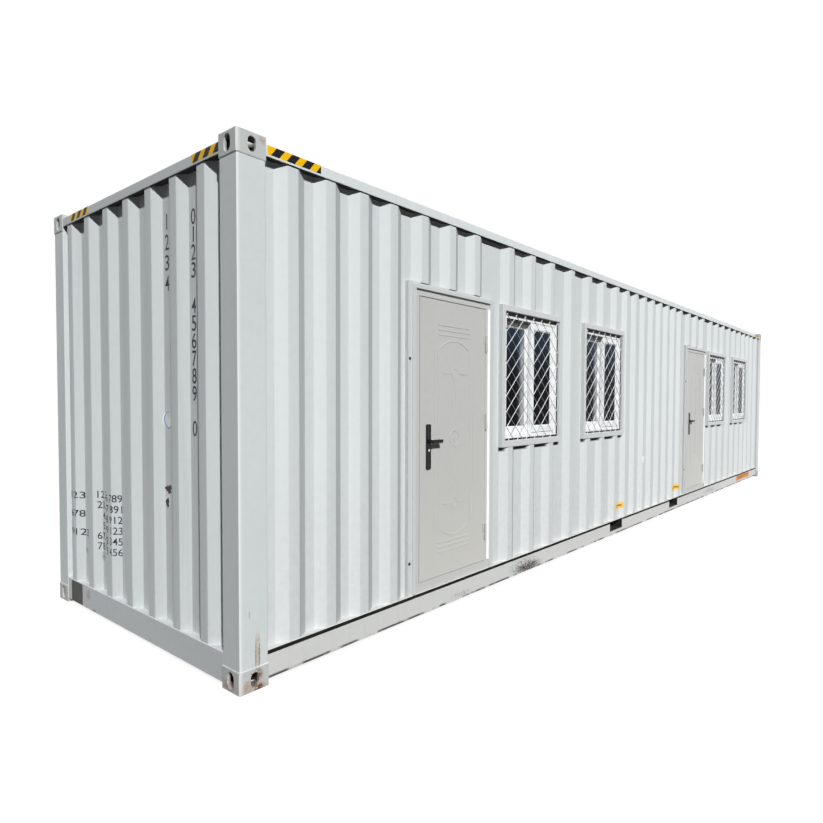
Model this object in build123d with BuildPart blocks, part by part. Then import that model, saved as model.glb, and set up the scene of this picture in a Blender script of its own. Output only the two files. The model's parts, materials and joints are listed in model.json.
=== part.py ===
from build123d import *
from math import ceil, floor, hypot
import os

os.makedirs("parts", exist_ok=True)

# Shipping container cabin, 40 ft high cube. Millimetres, +Z up, doors and windows on the -Y side.
# The origin is the middle of the four bottom corner castings' slots, on the ground.
cabin_length = 12192.0
cabin_width = 2438.0
cabin_height = 2896.0
overrun = 20.0                  # how far a cut runs past the face it opens

# Corner castings, with a twistlock slot, a side hole and an end hole each
casting_length = 178.0
casting_width = 162.0
casting_height = 118.0
casting_slot_plate = 28.0
casting_face_wall = 20.0
casting_back_wall = 10.0
casting_edge_cut = 6.0
slot_from_end = 103.5
slot_from_side = 89.5
slot_length = 124.0
slot_width = 63.5
side_hole_height = 80.0
side_hole_width = 50.0
side_hole_from_end = 92.0
end_hole_height = 92.0
end_hole_width = 60.0
end_hole_from_side = 84.0
hole_sides = 12                 # flats round a side or end hole

# Corner posts, pressed from plate
post_inset = 4.0
post_return = 62.0
post_plate = 6.0

# Rails round the base and the roof
base_top = 188.0
base_bottom = 25.0
base_plate = 5.0
rail_lip_inset = 8.0
rail_lip_depth = 58.0
rail_web_inset = 18.0
rail_foot_depth = 34.0
end_rail_inset = 6.0
end_rail_depth = 60.0
roof_rail_top = 2864.0
roof_rail_size = 60.0
roof_rail_wall = 4.0
roof_rail_inset = 5.0

# Corrugated sheet
sheet = 2.0
side_panel_inset = 12.0
side_crest = 72.0
side_slope = 68.0
side_valley = 70.0
side_depth = 36.0
side_first_crest = 322.0
end_panel_inset = 11.0
end_crest = 79.0
end_slope = 66.0
end_valley = 90.0
end_depth = 42.0
end_first_crest = 321.0

# Roof sheet with pressed ribs
roof_lap = 40.0
rib_pitch = 209.0
rib_base = 130.0
rib_height = 18.0
rib_taper_deg = 45.0
rib_end_margin = 130.0

# Floor, cross members and forklift pockets
floor_thickness = 28.0
floor_gap = 3.0
member_height = 130.0
member_flange = 45.0
member_plate = 4.0
member_pitch = 300.0
pocket_width = 345.0
pocket_bottom = 68.0
pocket_height = 110.0
pocket_plate = 4.0
pocket_pitch = 1992.0
pocket_shift = -212.0            # the pockets' middle, from the middle of the length

# Doorways: a stepped steel frame with a jamb and a stop, and a leaf of two pressed skins
door_from_end = 1840.0
second_room_lead = 96.0         # the far room's door and windows repeat the near room's, this much early
doorway_width = 896.0
doorway_top = 2295.0
trim_side = 72.0
trim_head = 44.0
trim_inset = 18.0
trim_depth = 42.0
architrave_side = 34.0
architrave_head = 26.0
architrave_inset = 6.0
jamb_face = 45.0
jamb_inset = 20.0
threshold_height = 62.0
stop_face = 20.0
stop_depth = 14.0
leaf_gap = 5.0
leaf_thickness = 50.0
leaf_skin = 1.5
bead_width = 11.0
bead_height = 2.0
bead_row_rise = 752.0           # rows, bars and rings of the leaf's raised pattern, from its middle
bead_row_pitch = 35.0
bead_row_count = 3
bead_row_half = 190.0
side_bead_rise = 640.0
side_bead_inner = 197.0
side_bead_outer = 234.0
arch_rise = 722.0
arch_half = 178.0
arch_drop = 66.0
bar_rise = 478.0
bar_inner = 58.0
bar_outer = 146.0
ring_radius = 43.0
stem_half = 16.0
medallion_radius = 64.0
medallion_core = 22.0
ring_sides = 12
hinge_radius = 8.0
hinge_sides = 12
hinge_length = 122.0
hinge_strap = 30.0
hinge_strap_plate = 3.0
hinge_set_off = 1.0
hinge_clearance = 0.5
hinge_from_foot = 234.0
hinge_from_top = 269.0
hinge_upper_pitch = 614.0

# Lock plates and lever handles
lock_from_edge = 92.0
lock_plate_width = 52.0
lock_plate_height = 320.0
lock_plate_thick = 7.0
lock_plate_corner = 8.0
lock_plate_drop = 38.0
lever_height = 1240.0
lever_length = 96.0
lever_grip = 24.0
lever_depth = 16.0
lever_reach = 52.0
hub_radius = 13.0
hub_sides = 12
hub_clearance = 0.5
spindle_size = 8.0
spindle_clearance = 2.5
keyhole_drop = 62.0
keyhole_radius = 8.5
keyhole_proud = 2.0

# Windows: a steel frame welded in the wall, and a sliding unit of two glazed sashes inside it
window_from_end = 2992.0
window_pitch = 1525.0
window_width = 940.0
window_height = 1080.0
window_sill = 1192.0
window_member = 50.0
window_frame_inset = 8.0
window_frame_depth = 52.0
unit_inset = 34.0
unit_depth = 70.0
unit_face = 52.0
sash_face = 58.0
sash_thick = 26.0
sash_track_gap = 6.0
sash_lap = 4.0
sash_meeting_lap = 26.0
glass_thick = 5.0

half_length = cabin_length / 2
half_width = cabin_width / 2
room_shift = half_length - second_room_lead
door_places = (door_from_end, door_from_end + room_shift)
window_places = [window_from_end + step + shift for shift in (0, room_shift) for step in (0, window_pitch)]
pocket_places = [half_length + pocket_shift + way * pocket_pitch / 2 for way in (-1, 1)]
post_side_face = casting_length
post_end_face = casting_width


def bent_sheet(path, thickness):
    # Outline of a folded sheet: the path, and the same path set off to its left by the thickness
    normals = []
    for (x0, y0), (x1, y1) in zip(path, path[1:]):
        run = hypot(x1 - x0, y1 - y0)
        normals.append(((y0 - y1) / run, (x1 - x0) / run))
    back = []
    for i, (x, y) in enumerate(path):
        a = normals[max(i - 1, 0)]
        b = normals[min(i, len(normals) - 1)]
        scale = thickness / (1 + a[0] * b[0] + a[1] * b[1])
        back.append((x + scale * (a[0] + b[0]), y + scale * (a[1] + b[1])))
    for i in (0, -1):
        (x, y), (across, along) = path[i], normals[i]
        square = abs(along) > abs(across)
        back[i] = (x, y + thickness / along) if square else (x + thickness / across, y)
    return path + back[::-1]


def corrugation(start, end, first_crest, crest, slope, valley, depth):
    # Distance and depth along a wall: a crest, a slope in, a valley and a slope out, over and over
    pitch = crest + valley + 2 * slope
    knots = (0, crest, crest + slope, crest + slope + valley)

    def depth_at(run):
        phase = (run - first_crest) % pitch
        ramp_in = min(max((phase - crest) / slope, 0), 1)
        ramp_out = min(max((phase - crest - slope - valley) / slope, 0), 1)
        return depth * (ramp_in - ramp_out)

    runs = [start]
    for k in range(floor((start - first_crest) / pitch) - 1, ceil((end - first_crest) / pitch) + 1):
        runs += [first_crest + k * pitch + knot for knot in knots]
    runs = [start] + [run for run in runs if start + sheet < run < end - sheet] + [end]
    return [(run, depth_at(run)) for run in runs]


def side_panel(start, end):
    path = corrugation(start, end, side_first_crest, side_crest, side_slope, side_valley, side_depth)
    return bent_sheet([(run, side_panel_inset + depth) for run, depth in path], sheet)


def end_panel():
    path = corrugation(post_end_face, cabin_width - post_end_face, end_first_crest,
                       end_crest, end_slope, end_valley, end_depth)
    return bent_sheet([(run, end_panel_inset + depth) for run, depth in path], sheet)


def save(builder, name):
    builder.part.label = name
    export_step(builder.part, "parts/" + name + ".step")


roof_rail_bottom = roof_rail_top - roof_rail_size
wall_height = roof_rail_bottom - base_top
cavity_length = casting_length - casting_face_wall - casting_back_wall
cavity_width = casting_width - casting_face_wall - casting_back_wall
cavity_height = casting_height - casting_slot_plate - casting_face_wall
cavity_x = -half_length + casting_face_wall + cavity_length / 2
cavity_y = -half_width + casting_face_wall + cavity_width / 2

# Corner castings: one is hollowed and holed at the near front corner, and mirrored to the other three
for name, foot, slot_face, cavity_floor in (
        ("bottom_corner_castings", 0, 0, casting_slot_plate),
        ("top_corner_castings", cabin_height - casting_height, cabin_height - casting_slot_plate,
         cabin_height - casting_slot_plate - cavity_height)):
    with BuildPart() as castings:
        with BuildSketch(Plane.XY.offset(foot)):
            with Locations((-half_length + casting_length / 2, -half_width + casting_width / 2)):
                Rectangle(casting_length, casting_width)
        extrude(amount=casting_height)
        chamfer(castings.edges().filter_by(Axis.Z).group_by(Axis.X)[0].group_by(Axis.Y)[0], casting_edge_cut)
        with BuildSketch(Plane.XY.offset(cavity_floor)):
            with Locations((cavity_x, cavity_y)):
                Rectangle(cavity_length, cavity_width)
        extrude(amount=cavity_height, mode=Mode.SUBTRACT)
        with BuildSketch(Plane.XY.offset(slot_face)):
            with Locations((slot_from_end - half_length, slot_from_side - half_width)):
                SlotOverall(slot_length, slot_width)
        extrude(amount=casting_slot_plate, mode=Mode.SUBTRACT)
        with BuildSketch(Plane.XZ.offset(half_width)):
            with Locations((-half_length + side_hole_from_end, foot + casting_height / 2)):
                with GridLocations(side_hole_width, side_hole_height - side_hole_width, 1, 2):
                    RegularPolygon(side_hole_width / 2, hole_sides)
            make_hull()
        extrude(amount=-casting_face_wall, mode=Mode.SUBTRACT)
        with BuildSketch(Plane.YZ.offset(-half_length)):
            with Locations((-half_width + end_hole_from_side, foot + casting_height / 2)):
                with GridLocations(end_hole_width, end_hole_height - end_hole_width, 1, 2):
                    RegularPolygon(end_hole_width / 2, hole_sides)
            make_hull()
        extrude(amount=casting_face_wall, mode=Mode.SUBTRACT)
        mirror(about=Plane.XZ)
        mirror(about=Plane.YZ)
    save(castings, name)

# Corner posts: plate folded round the corner, with a return along each wall
with BuildPart() as corner_posts:
    post_path = [(post_inset + post_return, post_end_face), (post_inset, post_end_face),
                 (post_inset, post_inset), (post_side_face, post_inset),
                 (post_side_face, post_inset + post_return)]
    with BuildSketch(Plane.XY.offset(casting_height)):
        Polygon(*[(u - half_length, w - half_width) for u, w in bent_sheet(post_path, post_plate)])
    extrude(amount=cabin_height - 2 * casting_height)
    mirror(about=Plane.XZ)
    mirror(about=Plane.YZ)
save(corner_posts, "corner_posts")

# Bottom side rails: a web under a lip that stands a little proud of it, and a foot, broken by the pockets
web_top = base_top - base_plate
web_back = rail_web_inset + base_plate
pocket_top = pocket_bottom + pocket_height
lip_back = rail_lip_inset + rail_lip_depth
foot_back = rail_web_inset + rail_foot_depth
rail_lip = [(rail_lip_inset, web_top), (rail_lip_inset, base_top), (lip_back, base_top),
            (lip_back, web_top), (web_back, web_top)]
rail_foot = [(web_back, base_bottom + base_plate), (foot_back, base_bottom + base_plate),
             (foot_back, base_bottom), (rail_web_inset, base_bottom)]
rail_section = rail_lip + rail_foot + [(rail_web_inset, web_top)]
mouth_head = rail_lip + [(web_back, pocket_top), (rail_web_inset, pocket_top), (rail_web_inset, web_top)]
mouth_sill = rail_foot + [(rail_web_inset, pocket_bottom), (web_back, pocket_bottom)]
rail_run = cabin_length - 2 * casting_length
mouths = [(x - pocket_width / 2, x + pocket_width / 2) for x in pocket_places]
rail_ends = [casting_length] + [x for mouth in mouths for x in mouth] + [cabin_length - casting_length]
with BuildPart() as bottom_side_rails:
    for start, end in zip(rail_ends[0::2], rail_ends[1::2]):
        with BuildSketch(Plane.YZ.offset(start - half_length)):
            Polygon(*[(w - half_width, z) for w, z in rail_section])
        extrude(amount=end - start)
    mirror(about=Plane.XZ)
save(bottom_side_rails, "bottom_side_rails")

# Forklift pockets' mouths: the lip goes on over each one, and a sill closes it below
with BuildPart() as forklift_pocket_mouths:
    for start, end in mouths:
        for outline in (mouth_head, mouth_sill):
            with BuildSketch(Plane.YZ.offset(start - half_length)):
                Polygon(*[(w - half_width, z) for w, z in outline])
            extrude(amount=end - start)
    mirror(about=Plane.XZ)
save(forklift_pocket_mouths, "forklift_pocket_mouths")

# Bottom end rails: channels that close the base at each end
cross_run = cabin_width - 2 * casting_width
channel = [(end_rail_inset + end_rail_depth, base_top), (end_rail_inset, base_top),
           (end_rail_inset, base_bottom), (end_rail_inset + end_rail_depth, base_bottom)]
with BuildPart() as bottom_end_rails:
    with BuildSketch(Plane.XZ.offset(-cross_run / 2)):
        Polygon(*[(u - half_length, z) for u, z in bent_sheet(channel, base_plate)])
    extrude(amount=cross_run)
    mirror(about=Plane.YZ)
save(bottom_end_rails, "bottom_end_rails")

# Roof rails: square tubes between the top castings
tube_middle = roof_rail_inset + roof_rail_size / 2
tube_bore = roof_rail_size - 2 * roof_rail_wall
with BuildPart() as top_side_rails:
    with BuildSketch(Plane.YZ.offset(-rail_run / 2)):
        with Locations((tube_middle - half_width, roof_rail_top - roof_rail_size / 2)):
            Rectangle(roof_rail_size, roof_rail_size)
            Rectangle(tube_bore, tube_bore, mode=Mode.SUBTRACT)
    extrude(amount=rail_run)
    mirror(about=Plane.XZ)
save(top_side_rails, "top_side_rails")
with BuildPart() as top_end_rails:
    with BuildSketch(Plane.XZ.offset(-cross_run / 2)):
        with Locations((tube_middle - half_length, roof_rail_top - roof_rail_size / 2)):
            Rectangle(roof_rail_size, roof_rail_size)
            Rectangle(tube_bore, tube_bore, mode=Mode.SUBTRACT)
    extrude(amount=cross_run)
    mirror(about=Plane.YZ)
save(top_end_rails, "top_end_rails")

# End walls and back wall
for name, end in (("left_end_wall", -1), ("right_end_wall", 1)):
    with BuildPart() as wall:
        with BuildSketch(Plane.XY.offset(base_top)):
            Polygon(*[(end * (half_length - depth), run - half_width) for run, depth in end_panel()])
        extrude(amount=wall_height)
    save(wall, name)
with BuildPart() as back_wall:
    with BuildSketch(Plane.XY.offset(base_top)):
        Polygon(*[(run - half_length, half_width - depth)
                 for run, depth in side_panel(post_side_face, cabin_length - post_side_face)])
    extrude(amount=wall_height)
save(back_wall, "back_wall")

# Front wall, split beside and over the doorways, with the windows cut through it
trim_width = doorway_width + 2 * trim_side
trim_top = doorway_top + trim_head
door_edges = [(x - trim_width / 2, x + trim_width / 2) for x in door_places]
front_runs = (("front_wall_left", post_side_face, door_edges[0][0], base_top),
              ("front_wall_over_door_1", door_edges[0][0], door_edges[0][1], trim_top),
              ("front_wall_middle", door_edges[0][1], door_edges[1][0], base_top),
              ("front_wall_over_door_2", door_edges[1][0], door_edges[1][1], trim_top),
              ("front_wall_right", door_edges[1][1], cabin_length - post_side_face, base_top))
for name, start, end, foot in front_runs:
    openings = [x for x in window_places if start < x < end]
    with BuildPart() as wall:
        with BuildSketch(Plane.XY.offset(foot)):
            Polygon(*[(run - half_length, depth - half_width) for run, depth in side_panel(start, end)])
        extrude(amount=roof_rail_bottom - foot)
        if openings:
            with BuildSketch(Plane.XZ.offset(half_width)):
                for x in openings:
                    with Locations((x - half_length, window_sill + window_height / 2)):
                        Rectangle(window_width + 2 * window_member, window_height + 2 * window_member)
            extrude(amount=-(side_panel_inset + side_depth + overrun), mode=Mode.SUBTRACT)
    save(wall, name)

# Roof sheet on the four rails, with pressed ribs across it, hollow underneath
roof_length = cabin_length - 2 * (roof_rail_inset + roof_rail_size - roof_lap)
roof_width = cabin_width - 2 * (roof_rail_inset + roof_rail_size - roof_lap)
rib_run = cabin_length - 2 * casting_length - 2 * rib_end_margin
rib_count = floor(rib_run / rib_pitch)
rib_length = cabin_width - 2 * (roof_rail_inset + roof_rail_size) - rib_end_margin
with BuildPart() as roof_panel:
    with BuildSketch(Plane.XY.offset(roof_rail_top)):
        Rectangle(roof_length, roof_width)
        with GridLocations(cabin_length - casting_length, cabin_width - casting_width, 2, 2):
            Rectangle(casting_length, casting_width, mode=Mode.SUBTRACT)
    extrude(amount=sheet)
    with BuildSketch(Plane.XY.offset(roof_rail_top + sheet)):
        with GridLocations(rib_pitch, rib_pitch, rib_count, 1):
            Rectangle(rib_base, rib_length)
    extrude(amount=rib_height, taper=rib_taper_deg)
    with BuildSketch(Plane.XY.offset(roof_rail_top)):
        with GridLocations(rib_pitch, rib_pitch, rib_count, 1):
            Rectangle(rib_base, rib_length)
    extrude(amount=rib_height, taper=rib_taper_deg, mode=Mode.SUBTRACT)
save(roof_panel, "roof_panel")

# Floor deck on the cross members, inside the rails' lips
floor_side = lip_back + floor_gap
floor_end = end_rail_inset + end_rail_depth + floor_gap
frame_back = jamb_inset + leaf_thickness + leaf_gap + stop_depth
with BuildPart() as floor_deck:
    with BuildSketch(Plane.XY.offset(web_top)):
        Rectangle(cabin_length - 2 * floor_end, cabin_width - 2 * floor_side)
        with GridLocations(cabin_length - post_side_face - post_plate,
                           cabin_width - post_end_face - post_plate, 2, 2):
            Rectangle(post_side_face + post_plate, post_end_face + post_plate, mode=Mode.SUBTRACT)
        for from_end in door_places:
            with Locations((from_end - half_length, frame_back / 2 - half_width)):
                Rectangle(trim_width, frame_back, mode=Mode.SUBTRACT)
    extrude(amount=floor_thickness)
save(floor_deck, "floor_deck")

# Cross members: channels between the side rails' webs, under their lips, spaced evenly between the pockets
pocket_half = pocket_width / 2 + pocket_plate
bays = [casting_length] + [x + way * pocket_half for x in pocket_places for way in (-1, 1)]
bays += [cabin_length - casting_length]
member_places = []
for start, end in zip(bays[0::2], bays[1::2]):
    count = ceil((end - start) / member_pitch)
    member_places += [start + (end - start) * (i + 1) / (count + 1) for i in range(count)]
member_reach = half_width - rail_web_inset - base_plate
with BuildPart() as floor_cross_members:
    with BuildSketch(Plane.XZ.offset(-member_reach)):
        for x in member_places:
            with Locations((x - half_length, web_top - member_height / 2)):
                Rectangle(member_flange, member_height)
            with Locations((x - half_length + member_plate, web_top - member_height / 2)):
                Rectangle(member_flange, member_height - 2 * member_plate, mode=Mode.SUBTRACT)
    extrude(amount=2 * member_reach)
save(floor_cross_members, "floor_cross_members")

# Forklift pockets: open tunnels across the base from web to web, of two side plates, a top and a bottom
with BuildPart() as forklift_pocket_sides:
    with BuildSketch(Plane.XZ.offset(-member_reach)):
        for x in pocket_places:
            for way in (-1, 1):
                with Locations((x - half_length + way * (pocket_half - pocket_plate / 2),
                                pocket_bottom + pocket_height / 2)):
                    Rectangle(pocket_plate, pocket_height)
    extrude(amount=2 * member_reach)
save(forklift_pocket_sides, "forklift_pocket_sides")
with BuildPart() as forklift_pocket_plates:
    with BuildSketch(Plane.XZ.offset(-member_reach)):
        for x in pocket_places:
            for height in (pocket_bottom - pocket_plate / 2, pocket_top + pocket_plate / 2):
                with Locations((x - half_length, height)):
                    Rectangle(2 * pocket_half, pocket_plate)
    extrude(amount=2 * member_reach)
save(forklift_pocket_plates, "forklift_pocket_plates")

# Doors
leaf_width = doorway_width - 2 * jamb_face - 2 * leaf_gap
leaf_bottom = base_top + threshold_height + leaf_gap
leaf_top = doorway_top - jamb_face - leaf_gap
leaf_height = leaf_top - leaf_bottom
leaf_middle = (leaf_top + leaf_bottom) / 2
leaf_plane = half_width - jamb_inset
leaf_back = leaf_plane - leaf_thickness
stop_plane = leaf_back - leaf_gap
trim_back = half_width - trim_inset - trim_depth
hinge_plane = leaf_plane + hinge_radius + hinge_set_off
knuckle = (hinge_length - hinge_clearance) / 2
hinge_heights = (leaf_bottom + hinge_from_foot, leaf_top - hinge_from_top - hinge_upper_pitch,
                 leaf_top - hinge_from_top)
arch_radius = (arch_half ** 2 + arch_drop ** 2) / (2 * arch_drop)
stem_foot = medallion_radius - bead_width / 2
stem_top = bar_rise - ring_radius + bead_width / 2
stem_rise = (stem_foot + stem_top) / 2
bar_across = (bar_inner + bar_outer) / 2
spindle_hole = spindle_size + 2 * spindle_clearance


def ring(middle, outer_side, outer_top, inner_side, inner_top, inner_foot=base_top):
    # Frame outline round a doorway: outer and inner half width, and their tops
    with Locations((middle, (base_top + outer_top) / 2)):
        Rectangle(2 * outer_side, outer_top - base_top)
    with Locations((middle, (inner_foot + inner_top) / 2)):
        Rectangle(2 * inner_side, inner_top - inner_foot, mode=Mode.SUBTRACT)


for number, from_end in enumerate(door_places, start=1):
    middle = from_end - half_length
    label = "door_" + str(number)
    half_door = doorway_width / 2
    half_leaf_way = half_door - jamb_face
    sill = base_top + threshold_height
    hinge_x = middle + leaf_width / 2 + leaf_gap / 2
    lock_x = middle - leaf_width / 2 + lock_from_edge

    # Frame: a flat trim on the wall, a prouder architrave, the jamb beside the leaf, and a stop behind it
    with BuildPart() as door_frame:
        with BuildSketch(Plane.XZ.offset(trim_back)):
            ring(middle, half_door + trim_side, doorway_top + trim_head, half_door, doorway_top)
        extrude(amount=trim_depth)
        with BuildSketch(Plane.XZ.offset(half_width - trim_inset)):
            ring(middle, half_door + architrave_side, doorway_top + architrave_head,
                 half_door, doorway_top)
        extrude(amount=trim_inset - architrave_inset)
        with BuildSketch(Plane.XZ.offset(stop_plane)):
            ring(middle, half_door, doorway_top, half_leaf_way, doorway_top - jamb_face, sill)
        extrude(amount=leaf_plane - stop_plane)
        with BuildSketch(Plane.XZ.offset(stop_plane - stop_depth)):
            ring(middle, half_door, doorway_top, half_leaf_way - stop_face,
                 doorway_top - jamb_face - stop_face, sill + stop_face)
        extrude(amount=stop_depth)
    save(door_frame, label + "_frame")

    # Hinges: the lower knuckle and strap stay on the jamb, and the upper ones turn on them with the leaf
    for kind, foot, way in (("_fixed_hinges", 0, 1), ("_moving_hinges", hinge_length - knuckle, -1)):
        with BuildPart() as hinges:
            for height in hinge_heights:
                with BuildSketch(Plane.XY.offset(height - hinge_length / 2 + foot)):
                    with Locations((hinge_x, -hinge_plane)):
                        RegularPolygon(hinge_radius, hinge_sides)
                    with Locations((hinge_x + way * hinge_strap / 2,
                                    -leaf_plane - hinge_strap_plate / 2)):
                        Rectangle(hinge_strap, hinge_strap_plate)
                extrude(amount=knuckle)
        save(hinges, label + kind)

    # Leaf: a hollow pressing, its raised pattern the same above and below its middle, cut for the spindle
    with BuildPart() as leaf:
        with BuildSketch(Plane.XZ.offset(leaf_back)):
            with Locations((middle, leaf_middle)):
                Rectangle(leaf_width, leaf_height)
        extrude(amount=leaf_thickness)
        with BuildSketch(Plane.XZ.offset(leaf_plane)):
            for radius, rise in ((ring_radius, bar_rise), (ring_radius, -bar_rise), (medallion_radius, 0)):
                with Locations((middle, leaf_middle + rise)):
                    RegularPolygon(radius, ring_sides)
                    RegularPolygon(radius - bead_width, ring_sides, mode=Mode.SUBTRACT)
            with Locations((middle, leaf_middle)):
                RegularPolygon(medallion_core, ring_sides)
            for way in (-1, 1):
                for i in range(bead_row_count):
                    with Locations((middle, leaf_middle + way * (bead_row_rise + i * bead_row_pitch))):
                        Rectangle(2 * bead_row_half, bead_width)
                for side in (-1, 1):
                    with Locations((middle + side * bar_across, leaf_middle + way * bar_rise)):
                        Rectangle(bar_outer - bar_inner, bead_width)
                    with Locations((middle + side * stem_half, leaf_middle + way * stem_rise)):
                        Rectangle(bead_width, stem_top - stem_foot)
            for across in (side_bead_inner, side_bead_outer):
                for side in (-1, 1):
                    with Locations((middle + side * across, leaf_middle)):
                        Rectangle(bead_width, 2 * side_bead_rise)
        for way in (-1, 1):
            with BuildSketch(Plane.XZ.offset(leaf_plane)):
                with Locations((middle, leaf_middle + way * (arch_rise - arch_radius))):
                    Circle(arch_radius)
                    Circle(arch_radius - bead_width, mode=Mode.SUBTRACT)
                with Locations((middle, leaf_middle + way * (arch_rise - arch_drop / 2))):
                    Rectangle(2 * arch_half, arch_drop, mode=Mode.INTERSECT)
        extrude(amount=bead_height)
        with BuildSketch(Plane.XZ.offset(leaf_back + leaf_skin)):
            with Locations((middle, leaf_middle)):
                Rectangle(leaf_width - 2 * leaf_skin, leaf_height - 2 * leaf_skin)
        extrude(amount=leaf_thickness - 2 * leaf_skin, mode=Mode.SUBTRACT)
        with BuildSketch(Plane.XZ.offset(leaf_back)):
            with Locations((lock_x, lever_height)):
                Rectangle(spindle_hole, spindle_hole)
        extrude(amount=leaf_thickness, mode=Mode.SUBTRACT)
    save(leaf, label + "_leaf")

    # Lock plates on both faces, each with a lock cylinder below the lever
    with BuildPart() as lock_plates:
        for plane, way in ((leaf_plane, 1), (leaf_back, -1)):
            with BuildSketch(Plane.XZ.offset(plane)) as plate:
                with Locations((lock_x, lever_height - lock_plate_drop)):
                    Rectangle(lock_plate_width, lock_plate_height)
                chamfer(plate.vertices(), lock_plate_corner)
                with Locations((lock_x, lever_height)):
                    Rectangle(spindle_hole, spindle_hole, mode=Mode.SUBTRACT)
            extrude(amount=way * lock_plate_thick)
            with BuildSketch(Plane.XZ.offset(plane)):
                with Locations((lock_x, lever_height - keyhole_drop)):
                    RegularPolygon(keyhole_radius, hub_sides)
            extrude(amount=way * (lock_plate_thick + keyhole_proud))
    save(lock_plates, label + "_lock_plates")

    # Lever: one square spindle through the leaf with a hub and a grip on each side
    with BuildPart() as lever:
        with BuildSketch(Plane.XZ.offset(leaf_back - lever_reach)):
            with Locations((lock_x, lever_height)):
                Rectangle(spindle_size, spindle_size)
        extrude(amount=leaf_thickness + 2 * lever_reach)
        for plane, way in ((leaf_plane, 1), (leaf_back, -1)):
            with BuildSketch(Plane.XZ.offset(plane + way * (lock_plate_thick + hub_clearance))):
                with Locations((lock_x, lever_height)):
                    RegularPolygon(hub_radius, hub_sides)
            extrude(amount=way * (lever_reach - lock_plate_thick - hub_clearance))
            with BuildSketch(Plane.XZ.offset(plane + way * (lever_reach - lever_depth))):
                with Locations((lock_x + lever_length / 2, lever_height)):
                    Rectangle(lever_length + lever_grip, lever_grip)
            extrude(amount=way * lever_depth)
    save(lever, label + "_lever")

# Windows
unit_front = half_width - unit_inset
sash_height = window_height - 2 * unit_face + 2 * sash_lap
sash_width = (window_width - 2 * unit_face + sash_meeting_lap) / 2 + sash_lap
track_plane = {-1: unit_front - unit_depth / 2 - sash_track_gap / 2 - sash_thick,
               1: unit_front - unit_depth / 2 + sash_track_gap / 2}
for number, from_end in enumerate(window_places, start=1):
    middle = from_end - half_length
    height = window_sill + window_height / 2
    label = "window_" + str(number)
    with BuildPart() as steel_frame:
        with BuildSketch(Plane.XZ.offset(half_width - window_frame_inset - window_frame_depth)):
            with Locations((middle, height)):
                Rectangle(window_width + 2 * window_member, window_height + 2 * window_member)
                Rectangle(window_width, window_height, mode=Mode.SUBTRACT)
        extrude(amount=window_frame_depth)
    save(steel_frame, label + "_steel_frame")

    # Sliding unit: the left sash runs in the inner track and the right sash in the outer one
    sash_shift = (window_width / 2 - unit_face + sash_lap) - sash_width / 2
    with BuildPart() as sliding_unit:
        with BuildSketch(Plane.XZ.offset(unit_front - unit_depth)):
            with Locations((middle, height)):
                Rectangle(window_width, window_height)
                Rectangle(window_width - 2 * unit_face, window_height - 2 * unit_face,
                          mode=Mode.SUBTRACT)
        extrude(amount=unit_depth)
        for side in (-1, 1):
            with BuildSketch(Plane.XZ.offset(track_plane[side])):
                with Locations((middle + side * sash_shift, height)):
                    Rectangle(sash_width, sash_height)
                    Rectangle(sash_width - 2 * sash_face, sash_height - 2 * sash_face,
                              mode=Mode.SUBTRACT)
            extrude(amount=sash_thick)
    save(sliding_unit, label + "_sliding_unit")
    with BuildPart() as glass:
        for side in (-1, 1):
            with BuildSketch(Plane.XZ.offset(track_plane[side] + (sash_thick - glass_thick) / 2)):
                with Locations((middle + side * sash_shift, height)):
                    Rectangle(sash_width - 2 * sash_face, sash_height - 2 * sash_face)
            extrude(amount=glass_thick)
    save(glass, label + "_glass")
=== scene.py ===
import json
import math
import bmesh
import bpy
import numpy as np
from mathutils import Matrix, Vector


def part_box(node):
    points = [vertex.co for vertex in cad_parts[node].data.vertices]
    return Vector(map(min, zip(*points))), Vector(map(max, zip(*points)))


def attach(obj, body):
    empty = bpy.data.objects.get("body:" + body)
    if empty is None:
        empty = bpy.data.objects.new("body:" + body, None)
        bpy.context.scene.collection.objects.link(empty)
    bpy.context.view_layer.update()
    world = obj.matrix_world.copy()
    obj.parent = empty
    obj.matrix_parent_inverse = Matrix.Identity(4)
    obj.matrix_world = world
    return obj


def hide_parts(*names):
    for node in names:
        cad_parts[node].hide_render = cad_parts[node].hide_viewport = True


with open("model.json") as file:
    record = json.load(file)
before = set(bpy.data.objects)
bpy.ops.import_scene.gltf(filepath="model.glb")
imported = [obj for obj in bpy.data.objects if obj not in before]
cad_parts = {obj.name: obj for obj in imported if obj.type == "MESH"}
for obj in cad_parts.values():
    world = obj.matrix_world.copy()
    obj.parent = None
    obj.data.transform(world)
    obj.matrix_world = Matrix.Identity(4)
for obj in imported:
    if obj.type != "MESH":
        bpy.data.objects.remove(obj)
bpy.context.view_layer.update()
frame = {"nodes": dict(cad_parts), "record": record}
cadNodes = frame["nodes"]
lowCorner = np.array(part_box("bottom_corner_castings")[0])  # the steel box, without the door levers
highCorner = np.array(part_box("top_corner_castings")[1])
windowBoxes = [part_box(f"window_{number}_steel_frame") for number in range(1, 5)]
print("frame loaded with", len(cadNodes), "nodes")

# Metres throughout. A "run" is counted along a wall from its -X or -Y end, a "depth" from the box face inwards.


# Shapes: grids and profiles as whole arrays

def joinShapes(shapes):
    # several (points, faces) pairs as one, each face list moved past the points before it
    counts = np.cumsum([0] + [len(points) for points, _ in shapes])
    faces = [part[1] + shift for part, shift in zip(shapes, counts)]
    return np.concatenate([points for points, _ in shapes]), np.concatenate(faces)


def xyz(x, y, z):
    # points from three grids, any of which may be a row, a column or one number
    return np.stack(np.broadcast_arrays(x, y, z), -1)


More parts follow.
